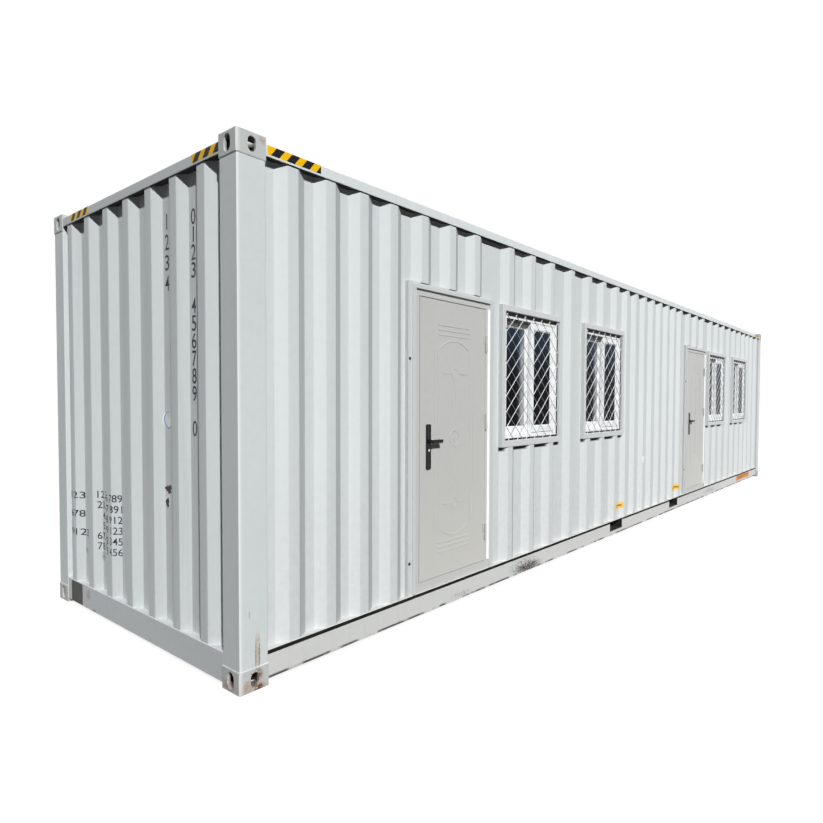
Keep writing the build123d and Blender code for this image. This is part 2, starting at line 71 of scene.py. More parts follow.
def loopFaces(rows, cols):
    # quads of a grid that closes on itself both ways, as a ring with a closed profile does
    row, col = np.meshgrid(np.arange(rows), np.arange(cols), indexing="ij")
    nextRow, nextCol = (row + 1) % rows, (col + 1) % cols
    quads = [row * cols + col, nextRow * cols + col, nextRow * cols + nextCol, row * cols + nextCol]
    return np.stack(quads, -1).reshape(-1, 4)


def tube(rings):
    # rings of an even number of points one after the other, with quads across the first and the last
    rows, sides = rings.shape[:2]
    half = np.arange(sides // 2 - 1)
    cap = np.stack([half, half + 1, sides - 2 - half, sides - 1 - half], -1)
    wall = loopFaces(rows, sides)[:(rows - 1) * sides]
    return rings.reshape(-1, 3), np.concatenate([wall, cap, cap + (rows - 1) * sides])


def thickSheet(outer, inner, keep=None):
    # two matching grids of points: kept cells get a face on each grid, and each open edge a rim between them
    rows, cols = outer.shape[:2]
    keep = np.ones((rows - 1, cols - 1), bool) if keep is None else keep
    index = np.arange(rows * cols).reshape(rows, cols)
    back = rows * cols
    cells = np.stack([index[:-1, :-1], index[:-1, 1:], index[1:, 1:], index[1:, :-1]], -1)[keep]
    padded = np.pad(keep, 1)
    flatRim = padded[:-1, 1:-1] != padded[1:, 1:-1]
    uprightRim = padded[1:-1, :-1] != padded[1:-1, 1:]
    a, b = index[:, :-1][flatRim], index[:, 1:][flatRim]
    c, d = index[:-1, :][uprightRim], index[1:, :][uprightRim]
    rims = [np.stack([a, b, b + back, a + back], -1), np.stack([c, d, d + back, c + back], -1)]
    faces = np.concatenate([cells, cells[:, ::-1] + back] + rims)
    points = np.concatenate([outer.reshape(-1, 3), inner.reshape(-1, 3)])
    used, faces = np.unique(faces, return_inverse=True)
    return points[used], faces.reshape(-1, 4)


def turns(sides):
    return np.linspace(0, 2 * np.pi, sides, endpoint=False)


def strands(starts, ends, wide, thick, leanDeg, sides=8):
    # flat bars in the XZ plane: an oval ring round each end, leaning about the bar's length
    axis = ends - starts
    axis /= np.linalg.norm(axis, axis=1, keepdims=True)
    outward = np.array([0.0, -1.0, 0.0])
    beside = np.cross(axis, outward)[:, None]
    lean = math.radians(leanDeg)
    face = math.cos(lean) * outward - math.sin(lean) * beside
    flat = math.cos(lean) * beside + math.sin(lean) * outward
    turn = turns(sides)[:, None]
    ring = wide / 2 * np.cos(turn) * flat + thick / 2 * np.sin(turn) * face
    bars = np.stack([starts[:, None] + ring, ends[:, None] + ring], 1)
    return joinShapes([tube(bar) for bar in bars])


def faceOf(low, high):
    # middle and half size of a box as seen from the front, in X and Z
    low, high = np.array(low)[[0, 2]], np.array(high)[[0, 2]]
    return (low + high) / 2, (high - low) / 2


def framedProfile(middle, half, profile):
    # a closed profile of (outward, y) points carried round a rectangle in XZ and mitred at its corners
    corner = np.array([[-1, -1], [1, -1], [1, 1], [-1, 1]])
    outward, y = profile[:, 0], profile[:, 1]
    x = middle[0] + corner[:, :1] * (half[0] + outward)
    z = middle[1] + corner[:, 1:] * (half[1] + outward)
    return xyz(x, y, z).reshape(-1, 3), loopFaces(4, len(profile))


def turned(profile, middle, sides=32):
    # a closed profile of (radius, y) points turned about a Y axis through the middle
    turn = turns(sides)[:, None]
    x = middle[0] + profile[:, 0] * np.cos(turn)
    z = middle[2] + profile[:, 0] * np.sin(turn)
    return xyz(x, middle[1] + profile[:, 1], z).reshape(-1, 3), loopFaces(sides, len(profile))


def softFolds(line, reach, steps=5):
    # each corner of a line becomes a short curve that leaves and meets its two flats at the reach
    before = line[1:-1] - line[:-2]
    after = line[2:] - line[1:-1]
    into = line[1:-1] - reach * before / np.linalg.norm(before, axis=1, keepdims=True)
    away = line[1:-1] + reach * after / np.linalg.norm(after, axis=1, keepdims=True)
    t = np.linspace(0, 1, steps)[:, None, None]
    curve = (1 - t) ** 2 * into + 2 * t * (1 - t) * line[1:-1] + t ** 2 * away
    return curve.transpose(1, 0, 2).reshape(-1, 2)


def meshArrays(mesh):
    points = np.empty(3 * len(mesh.vertices))
    mesh.vertices.foreach_get("co", points)
    mesh.calc_loop_triangles()
    faces = np.empty(3 * len(mesh.loop_triangles), np.int32)
    mesh.loop_triangles.foreach_get("vertices", faces)
    return points.reshape(-1, 3), faces.reshape(-1, 3)


def newMesh(name, shape):
    mesh = bpy.data.meshes.new(name)
    mesh.from_pydata(shape[0].tolist(), [], shape[1].tolist())
    return mesh


def addObject(name, data):
    item = bpy.data.objects.new(name, data)
    bpy.context.scene.collection.objects.link(item)
    return item


pieceLook = {"sharpDeg": 35.0, "merge": 1e-6}


def makePiece(name, shape, material, body="cabin", runs=None):
    mesh = newMesh(name, shape)
    if runs is not None:  # where each point lies on the piece, for a pattern that follows it
        layer = mesh.attributes.new("pieceRun", "FLOAT_VECTOR", "POINT")
        layer.data.foreach_set("vector", np.ascontiguousarray(runs, np.float32).ravel())
    work = bmesh.new()
    work.from_mesh(mesh)
    bmesh.ops.remove_doubles(work, verts=work.verts, dist=pieceLook["merge"])
    bmesh.ops.recalc_face_normals(work, faces=work.faces)
    work.to_mesh(mesh)
    work.free()
    mesh.polygons.foreach_set("use_smooth", np.ones(len(mesh.polygons), bool))
    mesh.set_sharp_from_angle(angle=math.radians(pieceLook["sharpDeg"]))
    mesh.materials.append(material)
    piece = addObject(name, mesh)
    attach(piece, body)
    return piece


# Finishes: node helpers

def tone(red, green, blue):
    # a colour written from 0 to 255 as seen on a screen, in the linear values that the shader takes
    seen = np.array([red, green, blue]) / 255
    linear = np.where(seen <= 0.04045, seen / 12.92, ((seen + 0.055) / 1.055) ** 2.4)
    return (*linear.tolist(), 1.0)


def feed(node, inputs):
    # links or sets a node's inputs, given by name or number
    for key, value in inputs.items():
        if isinstance(value, bpy.types.NodeSocket):
            node.id_data.links.new(value, node.inputs[key])
        else:
            node.inputs[key].default_value = value


def addNode(tree, kind, inputs=None, **settings):
    node = tree.nodes.new("ShaderNode" + kind)
    for key, value in settings.items():
        setattr(node, key, value)
    feed(node, inputs or {})
    return node


def newFinish(name):
    # a new material, its shader and the object's own coordinates
    material = bpy.data.materials.new(name)
    material.use_nodes = True
    tree = material.node_tree
    return material, tree.nodes["Principled BSDF"], addNode(tree, "TexCoord").outputs["Object"]


def calc(operation, a, b=0.0):
    tree = (a if isinstance(a, bpy.types.NodeSocket) else b).id_data
    return addNode(tree, "Math", {0: a, 1: b}, operation=operation).outputs[0]


def times(product, *others):
    for other in others:
        product = calc("MULTIPLY", product, other)
    return product


def fade(value, start, end, low=0.0, high=1.0):
    # smooth step from low at the start to high at the end
    inputs = {"Value": value, "From Min": start, "From Max": end, "To Min": low, "To Max": high}
    return addNode(value.id_data, "MapRange", inputs, interpolation_type="SMOOTHSTEP").outputs["Result"]


def blend(factor, first, second):
    return addNode(factor.id_data, "Mix", {0: factor, 6: first, 7: second}, data_type="RGBA").outputs[2]


def grain(place, scale, detail=2.0, stretch=(1.0, 1.0, 1.0)):
    mapping = addNode(place.id_data, "Mapping", {"Vector": place, "Scale": stretch})
    inputs = {"Vector": mapping.outputs[0], "Scale": scale, "Detail": detail}
    return addNode(place.id_data, "TexNoise", inputs).outputs[0]


def split(vector):
    return addNode(vector.id_data, "SeparateXYZ", {0: vector}).outputs


def vectorCalc(operation, a, b=(0.0, 0.0, 0.0)):
    node = addNode(a.id_data, "VectorMath", {0: a, 1: b}, operation=operation)
    return node.outputs["Value" if operation in ("LENGTH", "DOT_PRODUCT") else "Vector"]


def spot(place, middle, reach):
    # 1 at the middle of an egg-shaped patch and 0 outside its reach
    share = vectorCalc("DIVIDE", vectorCalc("SUBTRACT", place, middle), reach)
    return fade(vectorCalc("LENGTH", share), 1.0, 0.3)


def coat(shader, colour, rough, gloss, height, strength, distance):
    # a shader's colour, roughness and gloss, and its fine relief
    bump = addNode(shader.id_data, "Bump", {"Strength": strength, "Distance": distance, "Height": height})
    feed(shader, {"Base Color": colour, "Roughness": rough, "Specular IOR Level": gloss, "Normal": bump.outputs[0]})


rustBrown = tone(112, 62, 34)
dustTan = tone(176, 150, 122)
sootAndShadeGrey = tone(84, 86, 86)
mudAndShadeDark = tone(58, 52, 46)
mudBrown = tone(48, 36, 28)
highlightWhite = tone(252, 253, 253)
insideRustShadeDark = tone(46, 40, 36)

# Paint on steel: what each paint below changes is given with it
paintLook = {
    "colour": tone(212, 217, 217), "shade": tone(196, 202, 203), "mottle": 0.16, "streaks": 0.04,
    "dust": 0.05, "dustTop": 0.5, "dustTone": dustTan, "dustEven": 0.0, "speckFrom": 0.76, "speckTop": 0.2,
    "rough": 0.5, "gloss": 0.12, "stains": [], "footDirt": 0.0, "footTop": 0.06, "inner": None, "innerFrom": 0.0,
    "rubbed": 0.0, "hollow": 0.0, "lee": None, "bleached": None, "eaves": 0.0,
}
# scale, detail and stretch of its noises, in the order that sprayedPaint takes them
paintNoise = {"cloud": (0.9, 3.0), "fine": (26.0, 3.0), "streak": (1.0, 4.0, (19.0, 19.0, 0.55)), "speck": (60.0,),
              "torn": (70.0, 4.0), "blot": (7.0, 5.0), "skin": (420.0,)}


def sprayedPaint(name, **own):
    # satin paint on steel: soft mottling, runs of dirt down the sheet, road dust low down, specks and stains of rust;
    # where asked, painted highlights, shade and shadow
    look = {**paintLook, **own}
    material, shader, place = newFinish(name)
    x, y, z = split(place)
    cloud, fine, streak, speck, torn, blot, skin = (grain(place, *row) for row in paintNoise.values())
    colour = look["colour"]
    if look["inner"]:  # a second colour from some depth on
        colour = blend(fade(y, look["innerFrom"], look["innerFrom"] + 0.0008), colour, look["inner"])
    for patches, start, end in ((cloud, 0.3, 0.7), (fine, 0.35, 0.75)):
        colour = blend(fade(patches, start, end, 0.0, look["mottle"]), colour, look["shade"])
    colour = blend(fade(streak, 0.52, 0.78, 0.0, look["streaks"]), colour, sootAndShadeGrey)
    dust = times(fade(z, look["dustTop"], 0.0), fade(fine, 0.3, 0.75, look["dustEven"], 1.0), look["dust"])
    colour = blend(dust, colour, look["dustTone"])
    speck = times(fade(speck, look["speckFrom"], look["speckFrom"] + 0.05),
                  fade(z, look["speckTop"], look["speckTop"] * 0.4))
    colour = blend(speck, colour, rustBrown)
    inX, inY = (calc("SUBTRACT", edge, calc("ABSOLUTE", along)) for edge, along in zip(highCorner, (x, y)))
    if look["rubbed"]:  # a painted highlight along the box's four upright corners
        corner = times(fade(inX, 0.030, 0.002), fade(inY, 0.010, 0.004), look["rubbed"])
        colour = blend(corner, colour, highlightWhite)
    if look["hollow"]:  # dark inside a casting, behind its outer faces: rust and painted shade
        inZ = calc("MINIMUM", z, calc("SUBTRACT", highCorner[2], z))
        behind = calc("MINIMUM", calc("MINIMUM", inX, inY), inZ)
        inside = times(fade(behind, 0.006, 0.020), fade(inX, 0.176, 0.168), fade(inY, 0.160, 0.152), look["hollow"])
        colour = blend(inside, colour, insideRustShadeDark)
    if look["lee"]:  # painted shade on the slopes that lean to +X and painted light on those to -X, both changing towards the far end
        leanX = split(addNode(place.id_data, "NewGeometry").outputs["Normal"])[0]
        for (near, far), way, slopeTone in ((look["lee"], 1, sootAndShadeGrey), (look["bleached"], -1, highlightWhite)):
            share = times(fade(x, lowCorner[0], 0.5, near, far), fade(leanX, 0.2 * way, 0.4 * way))
            colour = blend(share, colour, slopeTone)
    # darker in blotches along the foot
    foot = times(fade(z, look["footTop"], look["footTop"] - 0.008),
                 fade(blot, 0.40, 0.54, 0.0, look["footDirt"]))
    colour = blend(foot, colour, mudAndShadeDark)
    if look["eaves"]:  # painted shadow in the valleys just under the window frames
        under = 0.0
        for low, high in windowBoxes:
            span = times(fade(x, low[0], low[0] + 0.01), fade(x, high[0], high[0] - 0.01))
            under = calc("MAXIMUM", under, span)
        sill, face = windowBoxes[0][0][2], lowCorner[1]
        for along, start, end in ((z, sill - 0.042, sill - 0.026), (z, sill + 0.020, sill + 0.010),
                                  (y, face + 0.018, face + 0.036), (y, face + 0.090, face + 0.070)):
            under = times(under, fade(along, start, end))
        colour = blend(times(under, look["eaves"]), colour, mudAndShadeDark)
    for middle, reach, amount, stain, *sparse in look["stains"]:
        start = 0.44 if sparse else 0.30
        colour = blend(times(spot(place, middle, reach), fade(torn, start, start + 0.22), amount), colour, stain)
    rough = fade(cloud, 0.25, 0.75, look["rough"] - 0.06, look["rough"] + 0.06)
    coat(shader, colour, rough, look["gloss"], calc("ADD", skin, times(fine, 2.0)), 0.10, 0.0006)
    return material


def stainsFrom(*rows):
    # each stain's place from the front's low near corner, its reach, strength and colour; "sparse" leaves gaps
    return [(tuple(lowCorner + place), *others) for place, *others in rows]


# rust that weeps down the near post into its casting's hole, scratches beside it, and scuffs on both castings
cornerStains = stainsFrom(
    ((0.112, 0, 0.200), (0.020, 0.03, 0.150), 0.6, dustTan),
    ((0.1005, 0, 0.185), (0.0045, 0.03, 0.120), 0.75, rustBrown),
    ((0.1225, 0, 0.190), (0.0045, 0.03, 0.125), 0.85, rustBrown),
    ((0.0625, 0, 0.410), (0.0035, 0.03, 0.030), 0.6, sootAndShadeGrey),
    ((0.112, 0, 0.078), (0.038, 0.06, 0.048), 0.8, rustBrown),
    ((0.118, 0, 0.008), (0.048, 0.06, 0.034), 1.0, rustBrown),
    ((0.046, 0, 0.030), (0.040, 0.03, 0.050), 0.8, dustTan),
    ((0.156, 0, 2.874), (0.03, 0.04, 0.03), 0.6, dustTan),
    ((0, 0.10, 0.03), (0.03, 0.07, 0.035), 0.5, rustBrown))
# grey smudges low on the near end, under its table of figures
endStains = stainsFrom(
    ((0.03, 2.04, 0.420), (0.06, 0.030, 0.040), 0.5, sootAndShadeGrey),
    ((0.03, 1.75, 0.425), (0.06, 0.030, 0.055), 0.65, sootAndShadeGrey),
    ((0.01, 1.81, 0.025), (0.04, 0.050, 0.025), 0.9, mudAndShadeDark),
    ((0.01, 1.91, 0.125), (0.04, 0.045, 0.050), 0.45, sootAndShadeGrey))
# a spatter of mud on the front's bottom rail between the door and the first pocket, and fainter ones beside it
railStains = stainsFrom(
    ((2.86, 0.018, 0.088), (0.30, 0.05, 0.085), 1.0, mudBrown, "sparse"),
    ((2.93, 0.018, 0.060), (0.28, 0.05, 0.055), 0.95, mudBrown),
    ((1.93, 0.018, 0.060), (0.16, 0.05, 0.030), 0.60, sootAndShadeGrey, "sparse"),
    ((8.65, 0.018, 0.095), (0.40, 0.05, 0.045), 0.30, sootAndShadeGrey))
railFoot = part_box("bottom_side_rails")[0][2]

# the long walls: painted shade on slopes leaning to +X, painted light on those leaning to -X, painted shadow under the
# window frames
cabinPaint = sprayedPaint("cabinPaint", eaves=0.85, dust=0.7, dustTop=1.7, dustTone=tone(209, 208, 207),
                          lee=(0.17, 0.45), bleached=(0.08, 0.2), gloss=0.0, rough=0.6)
topRailPaint = sprayedPaint("topRailPaint", colour=tone(222, 227, 227))
endPaint = sprayedPaint("endPaint", streaks=0.08, dust=0.12, stains=endStains)
roofPaint = sprayedPaint("roofPaint", streaks=0.0, mottle=0.5, rough=0.55)
# darker in blotches along the foot
railPaint = sprayedPaint("railPaint", colour=tone(212, 212, 209), dust=0.0, speckTop=0.07, footDirt=0.9,
                         footTop=railFoot + 0.019, stains=railStains)
endRailPaint = sprayedPaint("endRailPaint", colour=tone(208, 212, 213), dust=0.0, speckTop=0.07, stains=endStains)
# a painted highlight along the upright corners
postPaint = sprayedPaint("postPaint", stains=cornerStains, rubbed=0.6)
# a painted highlight on the upright corners, and rust and painted shade inside
castingPaint = sprayedPaint("castingPaint", colour=tone(195, 198, 196), dust=0.35, dustTop=0.2, speckFrom=0.68,
                            speckTop=0.16, stains=cornerStains, rubbed=0.5, hollow=0.75)
# the weld beads, paler than the posts as a painted highlight along the casting's top edge
seamPaint = sprayedPaint("seamPaint", colour=tone(222, 226, 226), mottle=0.4)
framePaint = sprayedPaint("framePaint", colour=tone(210, 213, 213))
doorFramePaint = sprayedPaint("doorFramePaint", colour=tone(205, 208, 208), inner=tone(198, 198, 195),
                              innerFrom=float(lowCorner[1]) + 0.0188, dust=0.75, dustTop=0.29,
                              dustTone=tone(216, 202, 190))
hingePaint = sprayedPaint("hingePaint", colour=tone(190, 190, 187), shade=tone(170, 169, 165))
# warm grey baked paint on pressed steel, dusty towards the foot
doorPaint = sprayedPaint("doorPaint", colour=tone(196, 196, 193), shade=tone(182, 182, 178), dust=0.45, dustTop=1.5,
                         dustTone=tone(216, 214, 206), dustEven=0.75, streaks=0.03, speckFrom=0.9, rough=0.4, gloss=0.2)

# Plain finishes: noise of the broad patches and where it fades, noise of the fine grain and its spread in
# roughness, gloss, and the relief's strength and distance
underLook = {"broad": (34.0, 4.0), "share": (0.35, 0.75), "fine": (34.0, 4.0), "spread": 0.1, "gloss": 0.5,
             "relief": (0.4, 0.002)}
metalLook = {"broad": (22.0, 4.0), "share": (0.35, 0.75), "fine": (300.0, 3.0, (1.0, 1.0, 0.15)), "spread": 0.07,
             "gloss": 0.2, "relief": (0.15, 0.0003)}
plasticLook = {"broad": (5.0, 4.0), "share": (0.4, 0.75), "fine": (240.0, 2.0), "spread": 0.05, "gloss": 0.2,
               "relief": (0.06, 0.0003)}
decalLook = {"broad": (6.0, 3.0), "share": (0.35, 0.7), "fine": (85.0, 5.0), "spread": 0.075, "gloss": 0.15,
             "relief": (0.08, 0.0003)}


def plainFinish(name, look, colour, shade, rough, metallic=0.0, wear=0.0):
    # two colours in broad patches, and a fine grain in roughness and relief; wear shows the wall's paint in flecks
    material, shader, place = newFinish(name)
    fine = grain(place, *look["fine"])
    body = blend(fade(grain(place, *look["broad"]), *look["share"]), tone(*colour), tone(*shade))
    if wear:
        body = blend(fade(fine, 0.62, 0.70, 0.0, wear), body, paintLook["colour"])
    feed(shader, {"Metallic": metallic})
    roughness = fade(fine, 0.3, 0.7, rough - look["spread"], rough + look["spread"])
    coat(shader, body, roughness, look["gloss"], fine, *look["relief"])
    return material


def decalFinish(name, colour, shade, wear):
    return plainFinish(name, decalLook, colour, shade, 0.475, wear=wear)


plyLook = {"sheet": 1.16, "seam": 0.004}


def plyFinish(look):
    # plywood sheets laid across the floor: wavy grain along Y, a dark seam at every sheet's edge
    material, shader, place = newFinish("plyBoard")
    figure = grain(place, 3.0, 5.0, (9.0, 0.7, 4.0))
    colour = blend(fade(figure, 0.3, 0.7), tone(150, 112, 78), tone(112, 78, 50))
    share = calc("FRACT", calc("DIVIDE", split(place)[0], look["sheet"]))
    away = calc("ABSOLUTE", calc("SUBTRACT", share, 0.5))
    seam = fade(away, look["seam"] / look["sheet"], 0.0)
    colour = blend(seam, colour, tone(40, 30, 22))
    coat(shader, colour, fade(figure, 0.3, 0.7, 0.5, 0.68), 0.5, calc("SUBTRACT", figure, seam), 0.3, 0.001)
    return material


glassLook = {"low": tone(12, 13, 14), "high": tone(76, 104, 130), "blueFrom": 1.65, "blueTop": 2.25, "far": 0.45,
             "haze": tone(214, 217, 220), "hazeStart": -0.19, "hazeFull": -0.03, "hazeEnd": -0.035, "clear": 0.8,
             "ior": 1.10}


def glassFinish(look):
    # dark panes, bluer near the top as a painted reflection of the sky, and paler in patches over the inner sash's
    # right part
    material, shader, place = newFinish("paneGlass")
    x, _, z = split(place)
    film = grain(place, 5.0, 5.0)
    colour = blend(fade(z, look["blueFrom"], look["blueTop"]), look["low"], look["high"])
    haze = 0.0
    for number, (low, high) in enumerate(windowBoxes):
        middle = float(low[0] + high[0]) / 2
        full = 1.0 if number < 2 else look["far"]
        band = times(fade(x, middle + look["hazeStart"], middle + look["hazeFull"], 0.0, full),
                     fade(x, middle + look["hazeEnd"] + 0.005, middle + look["hazeEnd"]))
        haze = calc("MAXIMUM", haze, band)
    haze = times(haze, fade(film, 0.25, 0.7, 0.55, 1.0), fade(z, 2.2, 1.9, 0.3, 1.0))
    feed(shader, {"Base Color": blend(haze, colour, look["haze"]), "Roughness": fade(film, 0.35, 0.8, 0.02, 0.09),
                  "Transmission Weight": fade(haze, 0.0, 0.5, look["clear"], 0.05), "IOR": look["ior"]})
    return material


stripeLook = {"pitch": 0.102, "slant": 0.80, "black": 0.47, "lead": 0.027}


def tapeFinish(look):
    # hazard tape: slanting stripes that follow the tape, with scuffs
    material, shader, place = newFinish("hazardTape")
    along, up, _ = split(addNode(place.id_data, "Attribute", attribute_name="pieceRun").outputs["Vector"])
    leaning = calc("ADD", calc("SUBTRACT", along, times(up, look["slant"])), look["lead"])
    phase = calc("FRACT", calc("DIVIDE", calc("MAXIMUM", leaning, 0.001), look["pitch"]))
    scuff = grain(place, 90.0, 4.0)
    yellow = blend(fade(scuff, 0.5, 0.8), tone(250, 196, 12), tone(214, 160, 20))
    black = blend(fade(scuff, 0.5, 0.8), tone(14, 14, 15), tone(40, 40, 40))
    stripe = fade(phase, look["black"] - 0.01, look["black"] + 0.01)
    coat(shader, blend(stripe, yellow, black), fade(scuff, 0.3, 0.7, 0.35, 0.5), 0.15, scuff, 0.1, 0.0004)
    return material


underCoat = plainFinish("underCoat", underLook, (22, 22, 22), (50, 47, 43), 0.8)
plyBoard = plyFinish(plyLook)
handleBlack = plainFinish("handleBlack", metalLook, (16, 16, 17), (28, 28, 29), 0.38)
boltDark = plainFinish("boltDark", metalLook, (46, 45, 44), (70, 62, 54), 0.5, 0.3)
keySteel = plainFinish("keySteel", metalLook, (205, 204, 200), (170, 168, 162), 0.28, 1.0)
windowWhite = plainFinish("windowWhite", plasticLook, (244, 246, 246), (232, 234, 234), 0.35)
meshWhite = plainFinish("meshWhite", plasticLook, (214, 217, 220), (196, 199, 202), 0.45)
# painted shade: the back strands in a darker grey than the front ones
meshGrey = plainFinish("meshGrey", plasticLook, (150, 153, 157), (134, 137, 141), 0.5)
trimWhite = plainFinish("trimWhite", plasticLook, (252, 252, 252), (240, 241, 241), 0.4)
# painted shade under the roof rails
sealantDark = plainFinish("sealantDark", plasticLook, (34, 33, 31), (48, 46, 41), 0.8)
# painted shadow under the bottom rails' lips
gapBlack = plainFinish("gapBlack", plasticLook, (10, 10, 10), (24, 23, 21), 0.8)
# dark rubber of the pane gaskets, also painted shade round the sliding units
gasketBlack = plainFinish("gasketBlack", plasticLook, (22, 22, 23), (36, 36, 36), 0.6)
sealGrey = plainFinish("sealGrey", plasticLook, (70, 70, 70), (92, 90, 88), 0.7)
paneGlass = glassFinish(glassLook)
hazardTape = tapeFinish(stripeLook)
decalYellow = decalFinish("decalYellow", (244, 208, 112), (232, 192, 92), 0.5)
decalOrange = decalFinish("decalOrange", (220, 142, 50), (198, 122, 44), 0.5)
decalBrown = decalFinish("decalBrown", (156, 116, 46), (132, 98, 44), 0.3)
decalBlue = decalFinish("decalBlue", (128, 160, 202), (196, 210, 228), 0.3)
decalWhite = decalFinish("decalWhite", (240, 241, 240), (216, 216, 212), 0.2)
decalDark = decalFinish("decalDark", (44, 43, 42), (64, 62, 60), 0.2)
numberPaint = decalFinish("numberPaint", (44, 48, 54), (62, 66, 72), 0.3)
print("finishes ready")


# CAD nodes that stay: a finish each, and softened edges

nodeFinish = {"casting_paint": castingPaint, "cabin_paint": cabinPaint, "frame_paint": framePaint,
              "door_paint": doorPaint, "hinge_steel": hingePaint, "handle_black": handleBlack,
              "window_white": windowWhite, "window_glass": paneGlass, "floor_board": plyBoard,
              "underside_paint": underCoat}
ownFinish = {"corner_posts": postPaint, "top_side_rails": topRailPaint, "bottom_side_rails": railPaint,
             "forklift_pocket_mouths": railPaint, "bottom_end_rails": endRailPaint,
             "door_1_frame": doorFramePaint, "door_2_frame": doorFramePaint}
edgeRound = {"castings": 0.006, "corner_posts": 0.009, "rails": 0.003, "frame": 0.002, "sliding_unit": 0.002,
             "lever": 0.004, "lock_plates": 0.002, "leaf": 0.0006, "hinges": 0.001}
edgeLook = {"merge": 1e-5, "segments": 3, "fromDeg": 40.0}


def dressNode(name, finish):
    node = cadNodes[name]
    for materialSlot in node.material_slots:
        materialSlot.material = finish
    for ending, width in edgeRound.items():
        if name.endswith(ending):
            weld = node.modifiers.new("weld", "WELD")
            weld.merge_threshold = edgeLook["merge"]
            bevel = node.modifiers.new("soften", "BEVEL")
            bevel.width = width
            bevel.segments = edgeLook["segments"]
            bevel.limit_method = "ANGLE"
            bevel.angle_limit = math.radians(edgeLook["fromDeg"])


for row in frame["record"]["subparts"]:
    dressNode(row["node"], ownFinish.get(row["node"], nodeFinish.get(row["material_slot"], cabinPaint)))
print("nodes dressed")


# Corrugated walls: folded sheet with soft bends and the slight waves of welded plate

sideSheet = {"firstCrest": 0.322, "crest": 0.072, "slope": 0.068, "valley": 0.070, "inset": 0.012, "depth": 0.036,
             "bend": 0.004, "thick": 0.002, "wave": 0.0004, "rows": 25}
endSheet = {"firstCrest": 0.321, "crest": 0.079, "slope": 0.066, "valley": 0.090, "inset": 0.011, "depth": 0.042,
            "bend": 0.005, "thick": 0.002, "wave": 0.0005, "rows": 25}
# the middles of the long front's inward slopes: the first run, then how many steps of which pitch follow it
frontFolds = {"first": 0.431, "steps": ((3, 0.271), (3, 0.314), (1, 0.496), (2, 0.356), (1, 0.411), (1, 0.392),
                                        (2, 0.356), (1, 0.301), (7, 0.279), (1, 0.377), (2, 0.346), (1, 0.451),
                                        (2, 0.371), (1, 0.401), (2, 0.3715), (1, 0.346), (2, 0.326), (1, 0.366)),
              "spread": 0.25, "widest": 0.37}


def usualPitch(sheet):
    return sheet["crest"] + sheet["valley"] + 2 * sheet["slope"]


def evenFolds(sheet, length):
    # middles of the inward slopes at one pitch, from before the wall's start to past its end
    pitch = usualPitch(sheet)
    first = sheet["firstCrest"] + sheet["crest"] + sheet["slope"] / 2
    return first + pitch * np.arange(-3, math.ceil(length / pitch) + 2)


def spacedFolds(sheet, look):
    # the same from a list of steps, led in and out at the usual pitch
    steps = np.concatenate([np.full(count, pitch) for count, pitch in look["steps"]])
    lead = np.full(3, usualPitch(sheet))
    return look["first"] - lead.sum() + np.cumsum(np.concatenate([[0.0], lead, steps, lead]))


def foldLine(sheet, places):
    # run and depth of a wall: slope in, valley, slope out, crest, over and over; a wide fold has a wider slope out
    slope, after = sheet["slope"] / 2, places[1:] - sheet["slope"] / 2
    wider = np.minimum(np.diff(places), frontFolds["widest"]) - usualPitch(sheet)
    crest = after - sheet["crest"]
    valleyEnd = crest - sheet["slope"] - frontFolds["spread"] * wider
    runs = np.stack([places[:-1] - slope, places[:-1] + slope, valleyEnd, crest], -1)
    depths = np.tile([0, sheet["depth"], sheet["depth"], 0], len(runs))
    return softFolds(np.stack([runs.ravel(), depths], -1), sheet["bend"])


def wallDepth(sheet, line, run, z):
    # the folded line, plus two slow waves that cross each other
    wave = np.sin(2.1 * run + 1.3 * z) * np.sin(1.9 * z + 0.6) + 0.5 * np.sin(5.3 * run - 2.2 * z)
    return sheet["inset"] + np.interp(run, line[:, 0], line[:, 1]) + sheet["wave"] * wave


def wallPlace(axis, face, inwards):
    # points from a run along X or Y, a depth from the wall's face and a height
    def place(run, depth, z):
        along, across = lowCorner[axis] + run, face + inwards * depth
        return xyz(across, along, z) if axis else xyz(along, across, z)
    return place


frontLine = foldLine(sideSheet, spacedFolds(sideSheet, frontFolds))
sideLine = foldLine(sideSheet, evenFolds(sideSheet, highCorner[0] - lowCorner[0]))
endLine = foldLine(endSheet, evenFolds(endSheet, highCorner[1] - lowCorner[1]))
# each wall's sheet, its line of folds, the axis that it runs along and the way to place points on it
walls = {"front": (sideSheet, frontLine, 0, wallPlace(0, lowCorner[1], 1)),
         "back": (sideSheet, sideLine, 0, wallPlace(0, highCorner[1], -1)),
         "left": (endSheet, endLine, 1, wallPlace(1, lowCorner[0], 1)),
         "right": (endSheet, endLine, 1, wallPlace(1, highCorner[0], -1))}
frontOpenings = [(low[0] - lowCorner[0], high[0] - lowCorner[0], low[2], high[2]) for low, high in windowBoxes]


def runsOf(node, axis):
    # where a node starts and ends along its wall
    return [corner[axis] - lowCorner[axis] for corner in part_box(node)]


def bendsIn(line, start, end):
    return line[(line[:, 0] > start) & (line[:, 0] < end), 0]


